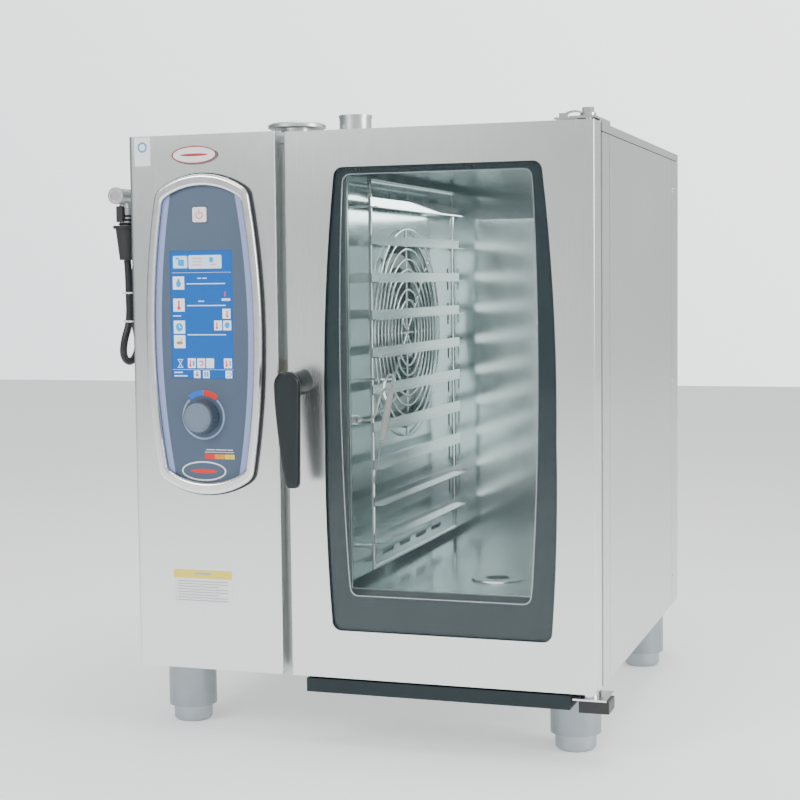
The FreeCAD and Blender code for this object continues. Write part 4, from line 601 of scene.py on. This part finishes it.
class Print:
    """Thin printed shapes on an upright face, placed in millimetres across and down from a corner."""

    def __init__(self, corner):
        self.corner = Vector(corner)
        self.mesh = bmesh.new()

    def at(self, across, down):
        return self.corner + Vector((across, 0, -down)) * MM

    def settle(self, known, colour, layer):
        """Thickens the faces that were added since known, and colours them."""
        added = [face for face in self.mesh.faces if face not in known]
        raise_plate(self.mesh, added, PRINT_DEPTH * layer)
        for face in self.mesh.faces:
            if face not in known:
                face.material_index = colour

    def block(self, across, down, width, height, colour, corner=0.0, layer=1, turn=0.0):
        """A rectangle from its upper left corner."""
        known = set(self.mesh.faces)
        centre = self.at(across + width / 2, down + height / 2)
        place = (Matrix.Translation(centre) @ Matrix.Rotation(turn, 4, "Y")
                 @ Matrix.Diagonal((width * MM, 1, height * MM, 1)) @ Matrix.Rotation(pi / 2, 4, "X"))
        made = bmesh.ops.create_grid(self.mesh, x_segments=1, y_segments=1, size=0.5, matrix=place)
        if corner:
            bmesh.ops.bevel(self.mesh, geom=made["verts"], offset=corner * MM, offset_type="OFFSET",
                            segments=3, profile=0.5, affect="VERTICES", material=-1)
        self.settle(known, colour, layer)

    def oval(self, across, down, width, height, colour, layer=1):
        """A filled oval from its centre."""
        known = set(self.mesh.faces)
        place = (Matrix.Translation(self.at(across, down)) @ Matrix.Diagonal((width * MM, 1, height * MM, 1))
                 @ Matrix.Rotation(pi / 2, 4, "X"))
        bmesh.ops.create_circle(self.mesh, cap_ends=True, segments=48, radius=0.5, matrix=place)
        self.settle(known, colour, layer)

    def band(self, across, down, radius, thick, start, end, colour, layer=1):
        """A part of a ring between two angles, in degrees clockwise from the top."""
        known = set(self.mesh.faces)
        ends = [self.mesh.verts.new(self.corner + Vector((0, 0, reach * MM)))
                for reach in (radius - thick / 2, radius + thick / 2)]
        rung = self.mesh.edges.new(ends)
        full = end - start >= 360
        centre = self.at(across, down)
        bmesh.ops.translate(self.mesh, verts=ends, vec=centre - self.corner)
        turn = Matrix.Rotation(radians(start), 3, "Y")
        bmesh.ops.rotate(self.mesh, verts=ends, cent=centre, matrix=turn)
        bmesh.ops.spin(self.mesh, geom=ends + [rung], cent=centre, axis=(0, 1, 0),
                       angle=radians(end - start), steps=max(6, int((end - start) / 7)), use_merge=full)
        self.settle(known, colour, layer)

    def wave(self, across, down, width, colour, layer=1, thick=0.9):
        """A wavy line of short slanted blocks, as for steam."""
        for step in range(6):
            slant = 0.45 if step % 2 else -0.45
            self.block(across + step * width / 6, down, width / 5, thick, colour, 0.0, layer, slant)

    def finish(self, name, finishes, body, slot):
        return make_piece(name, self.mesh, finishes, body, smooth=False)


def lit(name, colour, glow):
    """A colour that the display shines with, with a faint dot pattern."""
    light = Finish(name, roughness=0.25, emission_strength=glow)
    tone = light.mix(light.noise(0.02), [value * 0.92 for value in colour], colour)
    return light.shade(base_color=tone, emission_color=tone)


screen_low, screen_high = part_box("display")
SCREEN_WIDE, SCREEN_TALL = 117, 220
SCREEN_CORNER = ((screen_low.x + screen_high.x) / 2 - SCREEN_WIDE * MM / 2, screen_low.y,
                 (screen_low.z + screen_high.z) / 2 + SCREEN_TALL * MM / 2)
wear(lit("screen_blue", (0.0, 0.105, 0.42), 0.25), ["display"])
WHITE, BLUE, RED, BROWN, PALE = 0, 1, 2, 3, 4
screen = Print(SCREEN_CORNER)
screen.block(5, 8, 28.5, 22.8, BLUE, 2.2)
screen.block(6.2, 9.2, 26.1, 20.4, PALE, 1.6, 2)
screen.block(15, 15, 12, 11, BLUE, 2, 3, 0.12)
screen.block(11, 11.5, 6, 3.4, BLUE, 1, 3)
screen.block(35, 8, 62, 23, PALE, 2.2)
for row in range(3):
    screen.wave(42, 13 + row * 5.5, 17, RED, 2)
screen.block(74, 11.5, 7.5, 9, BLUE, 2.5, 2)
screen.wave(74, 23.5, 13, RED, 2, 0.8)
screen.block(3, 37.4, 111, 0.5, PALE)
for down in (44, 82, 120, 145):
    screen.block(4.5, down, 21.5, 22.4, WHITE, 1.0)
screen.oval(15.3, 57, 9.5, 11, BLUE, 2)
screen.block(13, 48, 4.5, 7, BLUE, 1.5, 2, 0.4)
screen.block(13.6, 85, 3, 12, RED, 1.4, 2)
screen.oval(15.1, 98.5, 6.5, 6.5, RED, 2)
screen.oval(15.3, 131.2, 13.5, 14.5, BLUE, 2)
screen.block(14.8, 126.5, 1, 5.5, WHITE, 0, 3)
screen.block(15, 131, 4, 1, WHITE, 0, 3)
screen.oval(15, 158.5, 12.5, 6, BROWN, 2)
screen.block(18, 149.5, 1.2, 7.5, BROWN, 0, 2, 0.5)
for down in (56, 93.4, 143.5):
    screen.block(30.5, down, 72.5, 1.7, PALE, 0.7)
for across, down, width in ((51, 46.6, 7), (60.5, 46.6, 8), (52, 86, 11), (3.7, 111, 15)):
    screen.block(across, down, width, 1.8, PALE)
screen.block(101, 71, 2.6, 8, RED, 1.2)
screen.block(96, 82, 16, 4.5, PALE, 1)
for across, down in ((97, 100), (81, 120), (98, 120), (30, 185), (47.6, 185), (64.5, 185), (98, 185)):
    screen.block(across, down, 14.8, 16.8, WHITE, 0.8)
for across, down in ((104.5, 103), (85, 123), (33.5, 188), (101.5, 188)):
    screen.block(across, down, 2.4, 8, RED, 1, 2)
    screen.oval(across + 1.2, down + 9.5, 4.4, 4.4, RED, 2)
screen.oval(105.4, 128.2, 9.5, 10.5, BLUE, 2)
screen.block(39, 189, 3.4, 9.5, BLUE, 1, 2)
screen.band(55, 193.4, 3.8, 2.2, -60, 200, RED, 2)
for row in range(4):
    screen.block(67, 188 + row * 3.2, 9.8, 1.4, PALE, 0, 2)
screen.block(108, 189, 2.6, 9.5, BLUE, 0.8, 2)
screen.block(10.4, 186.5, 10.6, 1.4, PALE)
screen.block(10.4, 200, 10.6, 1.4, PALE)
screen.block(15, 187, 1.3, 14, PALE, 0, 1, 0.55)
screen.block(15, 187, 1.3, 14, PALE, 0, 1, -0.55)
screen.block(1, 204.2, 115, 0.5, PALE)
screen.block(3.7, 208.3, 16, 2.2, PALE)
screen.block(3.7, 214.3, 25, 2.2, PALE)
for across in (41, 58.2, 100.5):
    screen.block(across, 206, 12.4, 13, WHITE, 0.8)
screen.oval(47.2, 214, 6.5, 4, BROWN, 2)
screen.block(45.6, 208, 3.2, 4, BLUE, 1, 2)
screen.block(60.4, 208, 3.4, 9, BLUE, 0.8, 2)
screen.block(65.2, 208, 3.4, 9, BLUE, 0.8, 2)
screen.band(108.6, 212.6, 3, 1.2, 0, 180, BLUE, 2)
screen.block(103, 209, 5.8, 1.2, BLUE, 0, 2)
screen.block(103, 215, 5.8, 1.2, BLUE, 0, 2)
screen_lights = [lit("lit_white", (0.80, 0.86, 0.92), 0.35), lit("lit_cyan", (0.0, 0.34, 0.78), 0.3),
                 lit("lit_red", (0.75, 0.05, 0.10), 0.3), lit("lit_brown", (0.42, 0.24, 0.08), 0.3),
                 lit("lit_pale", (0.62, 0.76, 0.88), 0.35)]
screen.finish("screen_signs", screen_lights, "cabinet", "screen_glass")

# ------------------------------------------------------------------ dial, button and panel printing
# A soft-touch knob on the encoder's spindle, a white push button with a red on and off sign, and the
# printing round them: a ring with a cold and a hot end, fine lines, a heat band and an empty oval.


def paint(name, colour, gloss=0.4):
    """Opaque screen-printing ink."""
    ink = Finish(name, roughness=gloss)
    return ink.shade(base_color=ink.mix(ink.noise(0.004), [value * 0.93 for value in colour], colour))


knob_low, knob_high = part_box("dial_knob")
knob_centre = (knob_low + knob_high) / 2
knob = Finish("knob_plastic", roughness=0.45)
knob_x, knob_y, knob_z = knob.axes((knob_centre.x, knob_low.y, knob_centre.z))
knob_reach = (knob_x * knob_x + knob_z * knob_z) ** 0.5
crown = (knob_reach < 0.0250) * (knob_y < 0.0035)
side_tone = knob.mix(knob.noise(0.03, 3), (0.050, 0.075, 0.100), (0.066, 0.094, 0.122))
knob.shade(base_color=knob.mix(crown, side_tone, (0.150, 0.200, 0.270)))
ribs = knob.node("ShaderNodeMath", {"operation": "ARCTAN2"}, {0: knob_x, 1: knob_z}) * 60
rib_wave = knob.node("ShaderNodeMath", {"operation": "SINE"}, {0: ribs})
knob.bump(rib_wave * (knob_reach > 0.0255), 0.0004, 0.6)
wear(knob, ["dial_knob"])

button_plastic = Finish("button_plastic", roughness=0.3)
button_plastic.mottle((0.80, 0.80, 0.80), (0.88, 0.88, 0.88), 0.01)
wear(button_plastic, ["power_button"])
button_low, button_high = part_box("power_button")
sign = Print(((button_low.x + button_high.x) / 2, button_low.y + 0.00005, (button_low.z + button_high.z) / 2))
sign.band(0, 0.8, 5.8, 1.5, 32, 328, 0)
sign.block(-0.8, -8.2, 1.6, 8.5, 0)
sign.finish("power_sign", [paint("sign_red", (0.72, 0.08, 0.10))], "power_button", "button_plastic")

inks = [paint("ink_lavender", (0.30, 0.38, 0.60)), paint("ink_cold", (0.0, 0.16, 0.74)),
        paint("ink_hot", (0.80, 0.02, 0.01)), paint("ink_white", (0.86, 0.87, 0.88)),
        paint("ink_amber", (0.80, 0.30, 0.02)), paint("ink_yellow", (0.86, 0.66, 0.02))]
LAVENDER, COLD, HOT, PAINT_WHITE, AMBER, YELLOW = range(6)
print_on = Print((knob_centre.x, face_low.y + 0.00005, knob_centre.z))
print_on.band(0, 0, 38.3, 3.2, 42, 318, LAVENDER)
print_on.band(0, 0, 41, 9.5, -38, 0, COLD)
print_on.band(0, 0, 41, 9.5, 0, 38, HOT)
print_on.block(1, 61, 55, 0.9, PAINT_WHITE)
print_on.block(4, 56.5, 16, 1.4, PAINT_WHITE)
print_on.block(22, 56.5, 20, 1.4, PAINT_WHITE)
print_on.block(44, 56.5, 10, 1.4, PAINT_WHITE)
for place, ink in enumerate((HOT, HOT, AMBER, AMBER, YELLOW, YELLOW)):
    print_on.block(1 + place * 9.4, 65, 9.0, 8.2, ink, 1.2)
print_on.oval(-1.1, 94.5, 84, 34, PAINT_WHITE)
print_on.finish("panel_printing", inks, "cabinet", "panel_plastic")
oval_field = Print((knob_centre.x - 1.1 * MM, face_low.y - 0.00012, knob_centre.z - 94.5 * MM))
oval_field.oval(0, 0, 78.5, 29, 0)
oval_field.oval(0, 0, 50, 7, 1, 2)
oval_field.finish("oval_field", [slate, inks[HOT]], "cabinet", "panel_plastic")

# ------------------------------------------------------------------ badge, sticker and rating label
# A domed oval badge with a red rim and an empty field, a white paper sticker at the column's top
# corner, and the vinyl rating label below the panel, whose lines are plain bars with no words.

fascia_low, fascia_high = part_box("fascia")
FASCIA_Y = fascia_low.y
badge_side = Finish("badge_edge", metallic=0.9, roughness=0.3)
badge_side.mottle((0.10, 0.11, 0.11), (0.20, 0.21, 0.21), 0.01)
badge = bmesh.new()
BADGE_X, BADGE_Z = left + 0.127, bottom + 0.892
badge_place = (Matrix.Translation((BADGE_X, FASCIA_Y - 0.0002, BADGE_Z))
               @ Matrix.Rotation(pi / 2, 4, "X"))
bmesh.ops.create_circle(badge, cap_ends=True, segments=64, radius=0.5,
                        matrix=badge_place @ Matrix.Diagonal((0.086, 0.032, 1, 1)))
raise_plate(badge, badge.faces[:], 0.0035)
front_rim = [edge for edge in badge.edges if all(vert.co.y < FASCIA_Y - 0.003 for vert in edge.verts)]
bmesh.ops.bevel(badge, geom=front_rim, offset=0.0012, offset_type="OFFSET", segments=3, profile=0.5,
                affect="EDGES", material=-1)
make_piece("badge_plate", badge, [badge_side], "cabinet")
badge_print = Print((BADGE_X, FASCIA_Y - 0.0036, BADGE_Z))
badge_print.oval(0, 0, 83, 29.5, 0)
badge_print.oval(0, 0, 79, 26, 1, 2)
badge_print.oval(0, 0, 52, 4.5, 0, 3)
badge_inks = [paint("badge_red", (0.45, 0.02, 0.04)), paint("badge_white", (0.84, 0.85, 0.86))]
badge_print.finish("badge_print", badge_inks, "cabinet", "panel_plastic")

label_finishes = [paint("label_white", (0.90, 0.91, 0.92)), paint("label_blue", (0.03, 0.30, 0.70)),
                  paint("label_yellow", (0.86, 0.72, 0.10)), paint("label_grey", (0.42, 0.44, 0.46))]
sticker = Print((left + 0.0125, FASCIA_Y - 0.00005, bottom + 0.925))
sticker.block(0, 0, 30, 49, 0, 1)
sticker.band(15, 17, 7.5, 3, 0, 360, 1, 2)
sticker.finish("corner_sticker", label_finishes, "cabinet", "panel_plastic")
label = Print((left + 0.070, FASCIA_Y - 0.00005, bottom + 0.175))
label.block(0, 0, 112, 62, 0, 1)
label.block(0.6, 0.6, 110.8, 15, 2, 0.6, 2)
label.block(40, 5.5, 32, 3.4, 3, 0, 3)
for row in range(8):
    label.block(8, 20 + row * 4.8, 96 - 17 * (row % 3 == 2), 1.5, 3, 0, 2)
    label.oval(4.5, 20.8 + row * 4.8, 1.6, 1.6, 3, 2)
label.finish("rating_label", label_finishes, "cabinet", "panel_plastic")

# ------------------------------------------------------------------ hand shower
# A satin silver moulded head and grip in a black cone holder: a ring nozzle with a dark rose, rubber
# bands on the grip and a black trigger under the head.

shower_metal = even_metal("shower_silver", (0.55, 0.57, 0.57), (0.70, 0.72, 0.72), 0.30, 0.003)
wear(shower_metal, ["shower_body"])
black_plastic = Finish("black_plastic", roughness=0.42)
black_plastic.mottle((0.012, 0.013, 0.014), (0.024, 0.026, 0.028), 0.02, 3)
black_plastic.bump(black_plastic.noise(0.0009, 2), 0.0001, 0.5)
wear(black_plastic, ["shower_holder", "shower_trigger", "bottom_hinge_cover", "cable_gland"])
shower_low, shower_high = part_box("shower_body")
nozzle_z = shower_high.z - 0.015
nozzle_x = (shower_low.x + shower_high.x) / 2
rose = bmesh.new()
bmesh.ops.create_circle(rose, cap_ends=True, segments=32, radius=0.0092,
                        matrix=Matrix.Translation((nozzle_x, shower_low.y + 0.0029, nozzle_z))
                        @ Matrix.Rotation(pi / 2, 4, "X"))
raise_plate(rose, rose.faces[:], 0.0008)
for ring_size, holes in ((0.0065, 12), (0.0035, 6)):
    for hole in range(holes):
        angle = 2 * pi * hole / holes
        spot = Vector((nozzle_x + ring_size * cos(angle), shower_low.y + 0.0018,
                       nozzle_z + ring_size * sin(angle)))
        bmesh.ops.create_cone(rose, cap_ends=True, segments=8, radius1=0.0008, radius2=0.0006, depth=0.0008,
                              matrix=Matrix.Translation(spot) @ Matrix.Rotation(pi / 2, 4, "X"))
make_piece("shower_rose", rose, [black_plastic], "cabinet")
grip_y = shower_low.y + 0.040
BAND_PITCH = 0.007
for band in range(3):
    grip_ring = bmesh.new()
    band_z = shower_high.z - 0.052 - band * BAND_PITCH
    rung = [grip_ring.verts.new((nozzle_x + reach, grip_y, band_z + rise))
            for reach, rise in ((0.0125, 0.0), (0.0142, 0.0012), (0.0142, 0.0032), (0.0125, 0.0044))]
    edges = [grip_ring.edges.new(pair) for pair in zip(rung, rung[1:] + rung[:1])]
    bmesh.ops.spin(grip_ring, geom=rung + edges, cent=(nozzle_x, grip_y, 0), axis=(0, 0, 1),
                   angle=2 * pi, steps=40, use_merge=True)
    make_piece(f"grip_band_{band + 1}", grip_ring, [rubber], "cabinet")

# ------------------------------------------------------------------ hinges, drip tray and services
# Bolted steel hinges, a dark drip tray under the door, a brass water inlet, nickelled hose fittings, a
# plastic drain, and behind the covers the boiler, its fan motor and the controller.

tray = Finish("drip_tray_coat", roughness=0.4, metallic=0.3)
tray.mottle((0.006, 0.014, 0.018), (0.012, 0.024, 0.028), 0.08, 4)
tray.bump(tray.noise(0.001, 2), 0.0001, 0.4)
wear(tray, ["drip_tray"])
brass = turned_metal("inlet_brass", (0.55, 0.38, 0.16), (0.70, 0.52, 0.25), 0.32, 0.0012)
wear(brass, ["water_inlet"])
nickel = even_metal("fitting_nickel", (0.46, 0.46, 0.44), (0.62, 0.61, 0.58), 0.26, 0.003)
wear(nickel, ["hose_fittings"])
drain_plastic = Finish("drain_plastic", roughness=0.5)
drain_plastic.mottle((0.20, 0.21, 0.22), (0.28, 0.29, 0.30), 0.05, 3)
wear(drain_plastic, ["drain_pipe"])
boiler_steel = even_metal("boiler_steel", (0.45, 0.46, 0.46), (0.60, 0.61, 0.60), 0.42, 0.004)
wear(boiler_steel, ["steam_boiler"])
board = Finish("circuit_board", roughness=0.45)
board_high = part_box("control_board")[0].y + 0.0175
on_board = board.axes()[1] > board_high
board_green = board.mix(board.noise(0.008), (0.01, 0.10, 0.04), (0.02, 0.16, 0.07))
board.shade(base_color=board.mix(on_board, (0.035, 0.035, 0.04), board_green))
wear(board, ["control_board"])
